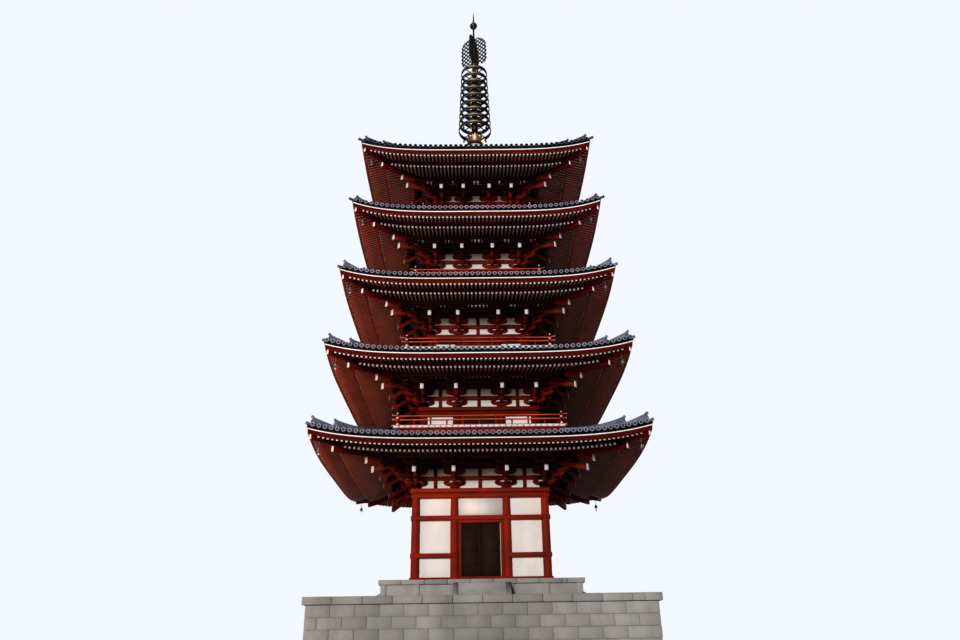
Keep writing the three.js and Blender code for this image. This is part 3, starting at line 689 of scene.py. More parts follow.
def make_doors(storey, tie, paint):
    """Door frame and a pair of ledged leaves in the middle bay of each side."""
    c, floor = storey.column, storey.floor
    ground = storey.number == 1
    frame_half = storey.bay / 2 - COLUMN_RADIUS + 0.02
    half = frame_half - 0.16
    low, high = floor + 0.24, floor + 3.5 if ground else tie
    front, back = -c - 0.14, -c + 0.2
    casing = Pile()
    for x0, x1 in ((-frame_half, -half), (half, frame_half)):
        boxes(casing, (x0, front, floor + 0.2), (x1, back, high + 0.01))
    for z0, z1 in ((high - 0.16, high + 0.02), (floor + 0.1, low + 0.06)):
        boxes(casing, (-frame_half - 0.01, front - 0.015, z0), (frame_half + 0.01, back, z1))
    make("door_casings", casing.around(), paint, storey, bevel=0.015)
    leaves = Pile()
    face, top, stile = 0.1 - c if ground else -c, high - 0.14, 0.12
    for x0, x1 in ((-half, -0.012), (0.012, half)):
        boxes(leaves, (x0, face, low), (x1, face + 0.06, top))
        for x in (x0, x1 - stile):
            boxes(leaves, (x, face - 0.035, low), (x + stile, face, top))
        for z in np.linspace(low, top - stile, 5):
            boxes(leaves, (x0 + stile, face - 0.035, z), (x1 - stile, face, z + stile))
    make("door_leaves", leaves.around(), "door", storey, bevel=0.01)
    if ground:
        for side in SIDE_NAMES:
            dress("doors_" + side, "door")
        panel = piled(boxes, (-frame_half, -c - 0.02, high + 0.2), (frame_half, -c + 0.1, tie + 0.02))
        make("door_head_panels", panel.around(), "plaster")


# Bracket clusters

def blocks(pile, feet, half, height, turn=0.0):
    """Bearing blocks: a square upper part over a lower part that curves in to its foot."""
    levels, halves = np.array((0.0, 0.1, 0.2, 0.36, 1.0)), np.array((0.72, 0.75, 0.85, 1.0, 1.0))
    stacks(pile, feet, levels * height, halves * half, turn)


def arms(pile, origins, way, start, end, bottom, height, width, both=False):
    """Bracket arms: level bars whose ends sweep up in a quarter curve.

    The outline runs from start to end along way, and is carried across the arm's width.
    """
    across = np.cross(way, RISE) * width / 2
    bow = np.array(((0.31, 0.0), (0.2, 0.02), (0.11, 0.065), (0.04, 0.13), (0.0, 0.2)))
    bow *= (1, height / 0.22)
    near = [(start, bottom + height), (start, bottom)]
    if both:
        near = [(start, bottom + height)] + [(start + x, bottom + y) for x, y in bow[::-1]]
    outline = [(end - x, bottom + y) for x, y in bow] + [(end, bottom + height)] + near
    origins = np.atleast_2d(origins)
    carry(pile, np.stack((origins - across, origins + across), 1), outline, way, RISE)


def make_brackets(storey):
    """Clusters over the columns, with beams between them and an outer purlin over their ends.

    Levels are given from the eave's line, and reaches from the columns' axis.
    """
    c, line = storey.column, storey.line
    purlin = c + PURLIN_REACH
    places = np.array((-c, -storey.bay / 2, storey.bay / 2, c))
    wood, outer = Pile(), Pile()

    def at(u, reach, z=0.0):
        return spots(np.atleast_1d(u), -(c + reach), line + z)

    def filler(pile, u, reach, half, low, high, front=0.02, back=0.02):
        boxes(pile, at(u, reach) + (-half, -front, low), at(u, reach) + (half, back, high))

    # Two tiers of arms along the wall, with filler boards over the upper one
    base = at(places, 0)
    lateral = np.concatenate((places[:3] + 0.5, places[1:] - 0.5))
    for level in WALL_LEVELS:
        arms(wood, base[1:3], ACROSS, -0.68, 0.68, level, 0.2, 0.2, both=True)
        arms(wood, base[:1], ACROSS, 0.0, 0.68, level, 0.2, 0.2)
        arms(wood, base[3:], -ACROSS, 0.0, 0.68, level, 0.2, 0.2)
        blocks(wood, at(lateral, 0, level + 0.2), 0.14, 0.15)
    filler(wood, places[1:3], 0, 0.6, -0.58, -0.29, 0.07, 0.05)
    filler(wood, (-c + 0.28, c - 0.28), 0, 0.32, -0.58, -0.29, 0.07, 0.05)
    blocks(wood, at(places, 0, PLATE_TOP), 0.28, 0.27)
    blocks(wood, at(places, 0, -0.89), 0.2, 0.14)
    # Two steps outwards over each column
    for reach, level, height in zip(STEP_REACHES, STEP_LEVELS, (0.15, 0.39)):
        arms(wood, base, OUTWARD, -0.2, reach + 0.16, level, 0.2, 0.2)
        blocks(wood, at(places, 0.5, level + 0.2), 0.14, height)
    blocks(wood, at(places, 1.0, -0.9), 0.14, 0.16)
    # Arms along the second step and under the outer purlin
    for reach, level, height, width, spread in ((1.0, -0.74, 0.19, 0.18, 0.5),
                                                (PURLIN_REACH, PURLIN_LEVEL, 0.17, 0.2, 0.54)):
        if reach == PURLIN_REACH:
            blocks(outer, at(places, reach, -0.7), 0.14, 0.17)
        arms(outer, at(places, reach), ACROSS, -0.66, 0.66, level, height, width, both=True)
        for shift in (-spread, 0.0, spread):
            blocks(outer, at(places + shift, reach, level + height), 0.13, 0.19)
    filler(outer, places, PURLIN_REACH - 0.04, 0.64, -0.4, -0.19)
    for sign in (-1, 1):
        arms(outer, at(sign * purlin, PURLIN_REACH), -sign * ACROSS, 0.0, 0.7, PURLIN_LEVEL, 0.17, 0.2)
    blocks(outer, at((0.55 - purlin, purlin - 0.55), PURLIN_REACH, -0.38), 0.13, 0.19)
    filler(outer, (0.35 - purlin, purlin - 0.35), PURLIN_REACH - 0.04, 0.31, -0.4, -0.19)
    # Diagonal set at one corner
    corner = np.array((-c, -c, line))
    for reach, level, height in zip((0.66, 1.14, 1.45), (*STEP_LEVELS, -0.8), (0.2, 0.2, 0.16)):
        arms(wood, corner, DIAGONAL, -0.2, reach * ROOT_2, level, height, 0.22)
    for reach, z, height in ((0.5, -1.25, 0.15), (0.5, -0.9, 0.14), (1.0, -0.9, 0.14),
                             (PURLIN_REACH, -0.72, 0.13)):
        blocks(wood, corner + (-reach, -reach, z), 0.16, height, math.pi / 4)
    # Struts between the clusters, where the bays are wide enough
    side = (c + storey.bay / 2) / 2
    for x in (0.0, -side, side)[:STRUTS[storey.number - 1]]:
        boxes(wood, (x - 0.11, -c - 0.02, line + PLATE_TOP), (x + 0.11, -c + 0.06, line - 0.3))
    make("bracket_arms", wood.around(), "bracket", storey, "brackets")
    make("purlin_arms", outer.around(), "sheltered", storey)

    beams, purlins = Pile(), Pile()
    for pile, reach, depth, low, high in (
            (beams, 0.0, 0.1, -1.12, -0.88), (beams, 0.0, 0.1, -0.3, -0.14),
            (purlins, 0.5, 0.08, -0.52, -0.4), (purlins, 1.0, 0.09, -0.36, -0.18)):
        square_beam(pile, c + reach - depth, c + reach + depth, line + low, line + high)
    top = lower_under(storey, purlin) + 0.02
    square_ring(purlins, ((purlin - 0.11, line - 0.2), (purlin + 0.11, line - 0.2),
                          (purlin + 0.11, top - 0.03), (purlin - 0.11, top)))
    square_beam(purlins, c + WALL_FACE, c + 1.0, line - 0.16, line - 0.12)
    make("bracket_beams", beams, "bracket", storey, bevel=0.012)
    make("purlins", purlins, "sheltered", storey, bevel=0.012)


def make_tails(storey):
    """Tail rafters: straight bars that slope down and out through the clusters, with white ends."""
    c = storey.column
    tails, ends = Pile(), Pile()
    feet = spots((-c, -storey.bay / 2, storey.bay / 2, c), -c, storey.line)
    for origins, way, run, end, end_z, slope, width, tall in (
            (feet, OUTWARD, 0.3, 2.2, -0.9, TAIL_SLOPE, 0.2, 0.33),
            (feet[:1], DIAGONAL, 0.3, 2.38 * ROOT_2, -0.98, TAIL_SLOPE / ROOT_2, 0.21, 0.38),
            (feet[:1], DIAGONAL, 1.7, 2.72 * ROOT_2, -0.52, TAIL_SLOPE / ROOT_2, 0.21, 0.38)):
        start = origins + way * run + RISE * (end_z + slope * (end - run))
        stop = origins + way * end + RISE * end_z
        side = np.cross(RISE, way)
        carry(tails, np.stack((start, stop), 1), oblong(width, 0.29), side, RISE)
        carry(ends, np.stack((stop, stop + way * 0.02), 1), oblong(width + 0.02, tall, -0.16), side, RISE)
    make("tail_rafters", tails.around(), "tail", storey)
    # The tail ends take white darkened to 0.72
    make("tail_ends", ends.around(), "worn_white", storey)


def make_cove(storey, spacing):
    """Small ceiling under the rafters: pale boards between ribs that stand as close as the rafters."""
    c, line = storey.column, storey.line
    inner, outer, high = c + 0.8, c + 1.5, line + 0.055
    boards = piled(square_ring, ((inner, high), (outer, line), (outer, line + 0.03), (inner, high + 0.03)))
    # Coves of the upper storeys take plaster darkened to 0.65: painted shade
    make("cove_boards", boards, "cove" if storey.number <= 3 else "dim_cove", storey)
    soffit = piled(square_beam, inner - 0.04, inner, line - 0.15, high + 0.04)
    square_ring(soffit, ((outer, line - 0.03), (c + 1.82, line - 0.05), (c + 1.82, line - 0.02),
                         (outer, line + 0.01)))
    make("cove_soffits", soffit, "sheltered", storey)
    u = rafter_places(outer, spacing) + spacing / 2
    u = u[np.abs(u) < outer - 0.1]
    start = np.maximum(inner - 0.01, np.abs(u))
    z = high + (line - high) * (start - inner) / (outer - inner)
    ribs = piled(bars, spots(u, -start, z - 0.015), spots(u, -outer, line - 0.015), 0.13, 0.04)
    make("cove_ribs", ribs.around(), "sheltered", storey)


# Eaves

def rafter_places(reach, spacing):
    """Places along the eave, at half a spacing from the middle and at every spacing from there."""
    right = (np.arange(int(reach / spacing - 0.5) + 1) + 0.5) * spacing
    return np.concatenate((-right[::-1], right))


def rafter_row(storey, underside, outer, inner, clearance, spacing):
    """Paths of one tier of rafters on the front side, bowed with the corner lift."""
    u = rafter_places(outer - clearance, spacing)
    start = np.maximum(inner, np.abs(u) + 0.1)
    keep = start < outer - 0.05
    u, start = u[keep, None], start[keep, None]
    half = start + (outer - start) * np.linspace(0, 1, 4)
    return spots(u, -half, underside(storey, half) + corner_lift(storey, half, u) + RAFTER[1] / 2)


def make_eaves(storey, spacing):
    """Boards under the tiles, fascia, white edge, a rest under the flying rafters, and both tiers."""
    w, line, depth = storey.eave, storey.line, RAFTER[1]
    upper = upper_end(storey)
    wall, step = storey.column + WALL_FACE, w - TIER_STEP
    under = [(w - 0.02, line), (w - 0.1, flying_under(storey, w - 0.1) + depth),
             (step, flying_under(storey, step) + depth), (step, lower_under(storey, step) + depth - 0.005),
             (wall, lower_under(storey, wall) + depth)]
    bed = [(half, roof_height(storey, half) - 0.2) for half in np.linspace(w, upper.half, 7)]
    low, high = lower_under(storey, step) + depth - 0.01, flying_under(storey, step + 0.03) + 0.02
    for name, finish, node, profile in (
            ("eave_boards", "sheltered", "eaves",
             under[::-1] + bed + [(upper.half, upper.seat), (wall, upper.seat)]),
            ("eave_fascia", "fascia", None,
             ((w - 0.14, line - 0.28), (w, line - 0.28), (w + 0.01, line - 0.04), (w - 0.14, line - 0.04))),
            ("flying_rafter_rests", "sheltered", None,
             ((step - 0.06, low), (step + 0.03, low), (step + 0.04, high), (step - 0.06, high))),
            ("eave_edge_board", "white", None,
             ((w - 0.14, line - 0.05), (w + 0.025, line - 0.05), (w + 0.03, line + 0.008),
              (w - 0.14, line + 0.008)))):
        make(name, piled(square_ring, profile, storey, EAVE_STATIONS), finish, storey, node, smooth=30)
    ends = Pile()
    for name, underside, outer, inner, clearance in (
            ("flying_rafters", flying_under, w - FLYING_END, w - FLYING_START, 0.32),
            ("lower_rafters", lower_under, w - LOWER_END, wall - 0.02, 0.22)):
        paths = rafter_row(storey, underside, outer, inner, clearance, spacing)
        make(name, piled(carry, paths, oblong(*RAFTER), ACROSS, RISE).around(), name, storey)
        caps = np.stack((paths[:, -1], paths[:, -1] + OUTWARD * 0.006), 1)
        carry(ends, caps, oblong(0.124, 0.13, -0.062), ACROSS, RISE)
    make("rafter_ends", ends.around(), "white", storey)


def diagonal_path(half, z):
    """Points over the front left corner line at half-widths and heights."""
    return spots(-half, -half, z)[None]


def make_hip_rafters(storey):
    """Corner rafters: a lower one under the lower tier, an upper one out to the eave corner."""
    w = storey.eave
    hips, plates = Pile(), Pile()
    lower, upper = np.linspace(storey.column, w - 1.2, 6), np.linspace(w - 1.5, w - 0.13, 4)
    for half, z, height in ((lower, lower_under(storey, lower) - 0.17, 0.28),
                            (upper, storey.line - 0.42 + 0.14 * (w - 0.12 - upper), 0.26)):
        path = diagonal_path(half, z + corner_lift(storey, half, half))
        carry(hips, path, oblong(0.18, height), BESIDE_DIAGONAL, RISE)
        tip = path[:, -1:]
        carry(plates, np.concatenate((tip, tip + DIAGONAL * 0.01), 1), oblong(0.2, height + 0.03),
              BESIDE_DIAGONAL, RISE)
    make("hip_rafters", hips.around(), "trim", storey)
    make("hip_end_plates", plates.around(), "white", storey)


def make_wind_bell(storey):
    """Cast bells under the corners: hook, shouldered bell with a flared lip, clapper and wind plate."""
    reach, z = storey.eave - 0.56, storey.tip - 1.06
    under = flying_under(storey, reach) + corner_lift(storey, reach, reach) - 0.2
    profile = ((0.1, -0.12), (0.115, -0.13), (0.12, -0.11), (0.1, -0.05), (0.092, 0.03), (0.084, 0.08),
               (0.055, 0.11), (0.025, 0.12), (0.015, 0.14), (0.012, under - z + 0.03))
    bells = piled(lathe, profile, ((-reach, -reach),), 14, base=z)
    lathe(bells, ((0.008, -0.22), (0.008, -0.1)), ((-reach, -reach),), 6, base=z)
    boxes(bells, (-reach - 0.04, -reach - 0.006, z - 0.32), (-reach + 0.04, -reach + 0.006, z - 0.21))
    make("wind_bells", bells.around(), "bell", storey, smooth=50)


# Roof tiles

def make_tiles(storey, spacing, length):
    """Tile bed, rows of cover and pan tiles, and the end tiles and aprons along the edge."""
    upper = upper_end(storey)
    edge = storey.eave + TILE_EDGE
    rows = [(half, roof_height(storey, half) - 0.05) for half in np.linspace(edge - 0.04, upper.half, 9)]
    rows += [(half, roof_height(storey, half) - 0.19) for half in np.linspace(upper.half, edge - 0.07, 7)]
    bed = piled(square_ring, rows, storey, EAVE_STATIONS)
    # The tile bed under the rows is a dark sheet of painted shade
    make("tile_bed", bed, "tile_dark", storey, "roof_tiles", smooth=30)
    count = int((edge - 0.16) / spacing)
    cover_at = np.arange(-count, count + 1) * spacing
    pan_at = (np.arange(-count, count) + 0.5) * spacing
    arc = np.linspace(0, math.pi, 6)
    cover = np.concatenate((np.stack((TILE_RADIUS * np.cos(arc), 0.02 + TILE_RADIUS * np.sin(arc)), 1),
                            ((-TILE_RADIUS, -0.06), (TILE_RADIUS, -0.06))))
    lip = spacing / 2 - 0.04
    pan = ((-lip, -0.08), (lip, -0.08), (lip, 0.0), (0.0, -0.03), (-lip, 0.0))
    covers = piled(tile_rows, storey, cover_at, cover, length, 0.02, edge, upper.half)
    pans = piled(tile_rows, storey, pan_at, pan, length, 0.025, edge - 0.02, upper.half)
    make("cover_tiles", covers.around(), "tile_cover", storey, smooth=50)
    make("pan_tiles", pans.around(), "tile", storey)
    apron = [(x * (spacing / 2 - 0.03), z) for x, z in (
        (-1, 0.01), (-0.55, -0.015), (0, -0.025), (0.55, -0.015), (1, 0.01),
        (1, -0.06), (0.55, -0.085), (0, -0.1), (-0.55, -0.085), (-1, -0.06))]
    # The lower roofs' edge rims take painted highlights and their faces painted shade; the top roof's stay
    # dark as painted shade
    rims_painted_lit = storey.number < len(STOREYS)
    for name, at, outs, rise, outline, finish in (
            ("edge_tiles", cover_at, (-0.03, 0.02, 0.02, 0.0), 0.035, circles((0.12, 0.12, 0.088, 0.083), 12),
             "tile_edge" if rims_painted_lit else "tile"),
            ("edge_tile_faces", cover_at, (-0.02, 0.002, 0.008), 0.035, circles((0.087, 0.087, 0.045), 10),
             "tile_face" if rims_painted_lit else "tile_dark"),
            ("edge_tile_aprons", pan_at, (-0.03, 0.01), 0.0, apron, "tile_dark")):
        z = roof_height(storey, edge, at) + rise
        paths = np.stack([spots(at, -(edge + out), z) for out in outs], 1)
        make(name, piled(carry, paths, outline, ACROSS, RISE).around(), finish, storey, smooth=50)


def tile_rows(pile, storey, places, outline, length, step, edge, top):
    """Rows of overlapping tiles from the hip or roof end down to the edge.

    Each tile's lower end lies one step over the tile below it. Rows with the same number of tiles are
    worked out together.
    """
    start = np.maximum(top, np.abs(places))
    counts = np.maximum(1, np.ceil((edge - start) / length - 0.25)).astype(int)
    for count in np.unique(counts):
        u = places[counts == count][:, None]
        half = np.tile(edge - np.arange(count + 1) * length, (len(u), 1))
        half[:, -1] = start[counts == count]
        pairs = np.stack((half[:, :0:-1], half[:, -2::-1]), 2).reshape(len(u), -1)
        z = roof_height(storey, pairs, u) + np.tile((0.0, step), count)
        numbers = (np.arange(count)[:, None] + (0.05, 0.95)).ravel()
        carry(pile, spots(u, -pairs, z), outline, ACROSS, RISE, along=numbers + 40.0 * np.round(u / 0.17))


# Height of the main ridge's end and the lower ridge's end over the tiles, how far the corner tile stands
# out, and how far its end is over the corner of the eave, for each storey
RIDGE_ENDS = ((0.68, 0.56, 0.09, 0.28), (0.64, 0.54, 0.14, 0.22), (0.5, 0.53, 0.15, 0.15),
              (0.46, 0.4, 0.24, 0.14), (0.5, 0.44, 0.24, 0.18))


def ridge(pile, storey, first, last, half_width, height, end_height, rows, cap):
    """A ridge along the hip, between two half-widths of the roof, with a round cap of radius cap.

    Its height is height + (end_height - height) * t^(0.9 * (last - first)), t from its inner to its
    outer end.
    """
    half = np.linspace(first, last, rows)
    share = (half - first) / (last - first)
    base, step = roof_height(storey, half, half), half_width * 0.1
    tall = height + (end_height - height) * share ** (0.9 * (last - first))
    right = np.array(((half_width + 0.03, -0.12), (half_width + 0.03, 0.05), (half_width - step, 0.16),
                      (half_width, 0.4), (half_width - 2 * step, 0.42), (half_width - step, 0.7),
                      (half_width - 3 * step, 0.72), (half_width - 2 * step, 1.0)))
    outline = np.concatenate((right, right[::-1] * (-1, 1)))
    outlines = np.repeat(outline[None], rows, 0)
    outlines[:, outline[:, 1] > 0.06, 1] *= tall[:, None]
    carry(pile, diagonal_path(half, base), outlines, BESIDE_DIAGONAL, RISE)
    arc = np.linspace(0, math.pi, 7)
    top = cap * np.stack((np.cos(arc), np.sin(arc)), 1)
    carry(pile, diagonal_path(half, base + tall - 0.01), top, BESIDE_DIAGONAL, RISE)


def crest(pile, storey, at, height, size, horn):
    """A crest plate across the ridge's end, a boss on it, and a horn tile that points out and up."""
    right = np.array(((0.9, -0.15), (1.05, 0.1), (0.8, 0.35), (0.95, 0.6), (0.7, 0.85), (0.45, 0.8),
                      (0.3, 1.05)))
    outline = np.concatenate((((-0.9, -0.15),), right, ((0.0, 1.15),), right[:0:-1] * (-1, 1)))
    outline *= (size, height)
    foot = spots(-at, -at, roof_height(storey, at, at))
    way = DIAGONAL * 0.05
    carry(pile, np.stack((foot - way, foot + way))[None], outline, BESIDE_DIAGONAL, RISE)
    steps = np.array((0.04, 0.1, 0.13))[:, None]
    carry(pile, (foot + RISE * height * 0.5 + DIAGONAL * steps)[None],
          circles((size * 0.45, size * 0.4, size * 0.2), 10), BESIDE_DIAGONAL, RISE)
    t = np.linspace(0, 1, 6)[:, None]
    root = foot + RISE * (height * 0.9) - DIAGONAL * 0.25
    spine = root + DIAGONAL * (horn * t) + RISE * (0.16 * t ** 1.4)
    carry(pile, spine[None], circles((0.06, 0.075, 0.08, 0.08, 0.08, 0.09), 10))


def make_hip_ridges(storey):
    """Ridges over the four hips, each in two lengths that end in a horn tile over a crest tile."""
    w = storey.eave
    upper = upper_end(storey)
    ridges, crests = Pile(), Pile()
    main_end, low_end = w - 1.28, w - 0.2
    main_fin, low_fin, reach, rise = RIDGE_ENDS[storey.number - 1]
    ridge(ridges, storey, upper.half - 0.1, main_end, 0.2, 0.24, main_fin - 0.16, 16, 0.08)
    ridge(ridges, storey, main_end - 0.1, low_end, 0.15, 0.14, low_fin - 0.16, 8, 0.07)
    crest(crests, storey, main_end, main_fin - 0.2, 0.2, 0.36)
    crest(crests, storey, low_end, low_fin - 0.2, 0.17, 0.34)
    t = np.linspace(0, 1, 5)[:, None]
    root = spots(0.3 - w, 0.3 - w, roof_height(storey, w - 0.3, w - 0.3) + 0.02)
    tip = spots(-(w + reach), -(w + reach), storey.tip + rise)
    spine = root + (tip - root) * t - RISE * (0.12 * t * (1 - t))
    carry(ridges, spine[None], circles((0.085, 0.085, 0.085, 0.085, 0.095), 10))
    # Lower roofs' ridges take the lighter cover tile and upper roofs' the darker tile: painted light and
    # painted shade
    clay = "tile_cover" if storey.number <= 3 else "tile"
    make("hip_ridges", ridges.around(), clay, storey, smooth=40)
    make("hip_crests", crests.around(), clay, storey, smooth=40, bevel=0.012)
    if storey.number < len(STOREYS):
        half, z = upper.half, upper.z
        course = [(half + x, z + y) for x, y in (
            (-0.05, -0.15), (0.12, -0.15), (0.12, 0.02), (0.06, 0.03), (0.06, 0.1), (0.005, 0.11),
            (0.005, 0.15), (-0.05, 0.15))]
        make("top_course", piled(square_ring, course), "tile", storey, bevel=0.01)


# Balconies

def make_balcony(storey):
    """Floor boards with white ends that show along the edge."""
    deck, floor = storey.deck, storey.floor
    dress("balcony_deck_%d" % storey.number, "paint")
    boards = Pile()
    for width, quarters in ((deck, (0, 2)), (storey.column, (1, 3))):
        low, high = row_of_boxes(width, round(2 * width / BOARD_WIDTH), BOARD_GAP,
                                 (0.02 - deck, floor + 0.001), (0.03 - storey.column, floor + 0.029))
        piled(boxes, low, high).around(boards, quarters)
    make("floor_boards", boards, "paint", storey)
    low, high = row_of_boxes(deck + 0.03, round(2 * deck / BOARD_WIDTH), BOARD_GAP,
                             (-deck - 0.03, floor - 0.07), (0.02 - deck, floor + 0.06))
    make("floor_edge", piled(boxes, low, high).around(), "white", storey)


def make_railing(storey):
    """Railing: base, middle and top rails that cross at the corners, struts and bearing blocks."""
    floor, half = storey.floor, storey.deck - RAIL_INSET
    rails, ends, posts = Pile(), Pile(), Pile()
    x = np.linspace(-1, 1, 25) * (half + RAIL_ENDS)
    upturn = 0.07 * np.clip((np.abs(x) - half) / RAIL_ENDS, 0, 1) ** 1.5
    for level, outline, curl in ((0.1, oblong(0.13, 0.1), 0.0), (0.46, oblong(0.13, 0.06), 0.6),
                                 (0.72, circle(0.038, 8), 1.0)):
        path = spots(x, -half, floor + level + upturn * curl)[None]
        carry(rails, path, outline, -OUTWARD, RISE)
        for sign, tip in ((1, path[:, -1:]), (-1, path[:, :1])):
            cap = np.concatenate((tip, tip + ACROSS * sign * 0.015), 1)
            carry(ends, cap, outline * 1.05, -OUTWARD, RISE)
    divisions = np.linspace(-half, half, 6)
    feet = spots(divisions[:-1], -half, floor + 0.02)
    stacks(posts, feet, (0.0, 0.42), (0.05, 0.05))
    stacks(posts, feet + RISE * 0.46, (0.0, 0.05, 0.1, 0.17, 0.22), (0.04, 0.04, 0.075, 0.075, 0.05))
    stacks(posts, feet + ACROSS * half / 5, (0.0, 0.42), (0.045, 0.045))
    make("balcony_posts", posts.around(), "paint", storey)
    make("balcony_rails", rails.around(), "rail", storey, "balcony_railing", smooth=40)
    make("rail_ends", ends.around(), "white", storey)


# Finial

def make_finial():
    """Square basin, inverted bowl, lotus, wheels, flame, and the jewel with its spike."""
    basin = ((0.0001, 37.9), (0.86, 37.9), (0.86, 38.3), (1.1, 38.3), (1.1, 38.4), (0.98, 38.46),
             (0.86, 38.5), (0.86, 38.56), (0.9, 38.58), (0.96, 38.62), (0.96, 38.72), (0.0001, 38.72))
    make("roban_basin", piled(square_ring, basin), "bowl", node="finial_basin", bevel=0.01)
    angle = np.linspace(0, QUARTER, 12)[:-1]
    dome = np.stack((0.88 * np.cos(angle), 38.72 + 0.7 * np.sin(angle)), 1)
    profile = np.concatenate((((0.9, 38.7), (0.92, 38.74)), dome, ((0.06, 39.42),)))
    make("inverted_bowl", piled(lathe, profile, sides=32), "bowl", node="finial_bowl", smooth=50)
    make_lotus()
    make_wheels()
    make_flame()
    angle = np.linspace(-0.5, 0.5, 12)[1:-1] * math.pi
    ball = np.stack((0.31 * np.cos(angle), 51.89 + 0.31 * np.sin(angle)), 1)
    profile = np.concatenate((((0.1, 50.4), (0.09, 50.6), (0.07, 50.9), (0.075, 51.55)), ball,
                              ((0.085, 52.22), (0.065, 52.5), (0.035, 53.1), (0.008, 53.32))))
    make("jewel_and_spike", piled(lathe, profile, sides=20), "bronze", node="finial_jewel", smooth=50)


def petal(pile, foot, rim, z0, z1, width, turn, count=8, thickness=0.03):
    """Petals in a ring, each a grid of t up its height and s across it.

    Its half-width is width * sin(pi * (0.2 + 0.8 t))^0.6, which closes to a point. Its radius grows
    from foot to rim with t^1.3, and its edges fall back with s^2.
    """
    t, s = np.linspace(0, 1, 8)[:, None], np.linspace(-1, 1, 7)
    spread = width * np.clip(np.sin(math.pi * (0.2 + 0.8 * t)), 0.02, 1) ** 0.6 * s
    radius = foot + (rim - foot) * t ** 1.3 - 0.06 * s ** 2 * (1 - t * 0.5)
    z = z0 + (z1 - z0) * t - 0.03 * s ** 2 * t
    points = np.stack([spots(radius - back, spread, z - back * 0.3) for back in (0.0, thickness)])
    outer, inner = np.arange(points.size // 3).reshape(2, 8, 7)
    around = [np.concatenate((sheet[0], sheet[1:, -1], sheet[-1, -2::-1], sheet[-2:0:-1, 0]))
              for sheet in (outer, inner)]
    faces = np.concatenate((
        np.stack((outer[:-1, :-1], outer[:-1, 1:], outer[1:, 1:], outer[1:, :-1]), -1).reshape(-1, 4),
        np.stack((inner[:-1, :-1], inner[1:, :-1], inner[1:, 1:], inner[:-1, 1:]), -1).reshape(-1, 4),
        np.stack((np.roll(around[0], -1), *around, np.roll(around[1], -1)), -1)))
    for i in range(count):
        placed = turned(points.reshape(-1, 3), turn + i * 2 * math.pi / count)
        pile.add(placed, [faces], [placed[faces][..., :2]])


def make_lotus():
    """Two rings of petals round a waisted core, over a brown calyx."""
    core = ((0.36, 39.38), (0.38, 39.46), (0.3, 39.56), (0.34, 39.7), (0.42, 39.8), (0.28, 39.86),
            (0.24, 39.95))
    lotus = piled(lathe, core)
    petal(lotus, 0.4, 0.8, 39.44, 40.12, 0.21, -QUARTER)
    petal(lotus, 0.36, 0.62, 39.5, 40.2, 0.19, -QUARTER + math.pi / 8)
    make("lotus", lotus, "gilt", node="finial_lotus", smooth=60)
    calyx = piled(lathe, ((0.34, 39.4), (0.55, 39.44), (0.66, 39.5), (0.6, 39.52), (0.34, 39.5)))
    make("lotus_calyx", calyx, "brown", smooth=60)


def make_wheels():
    """Wheels on the mast: outer band, gilt plates, four spokes and hub; bells hang from the lowest."""
    bands, plates, hubs = Pile(), Pile(), Pile()
    for share in np.linspace(0, 1, WHEELS):
        z, radius = 40.85 + 5.7 * share, 1.28 - 0.23 * share
        rim = ((-0.03, -0.17), (0, -0.17), (0.015, -0.14), (0, -0.11), (0, 0.11), (0.015, 0.14), (0, 0.17),
               (-0.03, 0.17))
        lathe(bands, [(radius + r, z + h) for r, h in rim], sides=36, loop=True)
        hub = ((0.17, -0.15), (0.22, -0.12), (0.24, 0.0), (0.22, 0.12), (0.17, 0.15))
        lathe(hubs, [(r, z + h) for r, h in hub], sides=16)
        for k in range(4):
            a = (k - 1) * QUARTER + np.linspace(-0.5, 0.5, 9)
            ways = spots(np.cos(a), np.sin(a), 0)
            arc = ways * (radius - 0.005) + RISE * (z + 0.02)
            carry(plates, arc[None], oblong(0.06, 0.09), ways[None], RISE)
            way = turned(ACROSS, (k + 0.5) * QUARTER)
            bars(bands, way * 0.2 + RISE * z, way * (radius - 0.02) + RISE * z, 0.05, 0.07)
    make("wheel_bands", bands, "bronze", node="finial_rings", smooth=40)
    make("wheel_gilt_plates", plates, "plate_gilt", smooth=40)
    make("wheel_hubs", hubs, "brown", smooth=40)
    sleeve = ((0.2, 39.9), (0.245, 39.95), (0.245, 41.2), (0.2, 41.25), (0.17, 41.4), (0.17, 47.6))
    make("mast_sleeve", piled(lathe, sleeve, sides=16), "brown", smooth=40)
    bell = ((0.07, -0.2), (0.08, -0.21), (0.06, -0.08), (0.045, -0.03), (0.012, 0.0), (0.012, 0.06))
    bells = piled(lathe, bell, circle(1.25, 4, math.pi / 4), 10, base=40.66)
    make("wheel_bells", bells, "bronze", smooth=50)


def flame_reach(share):
    """Outer edge of a flame vane at a share of its height: nearly upright, drawn in at its head."""
    return np.interp(share, (0.0, 0.08, 0.3, 0.75, 0.9, 1.0), (0.95, 1.08, 1.12, 1.08, 0.92, 0.45))


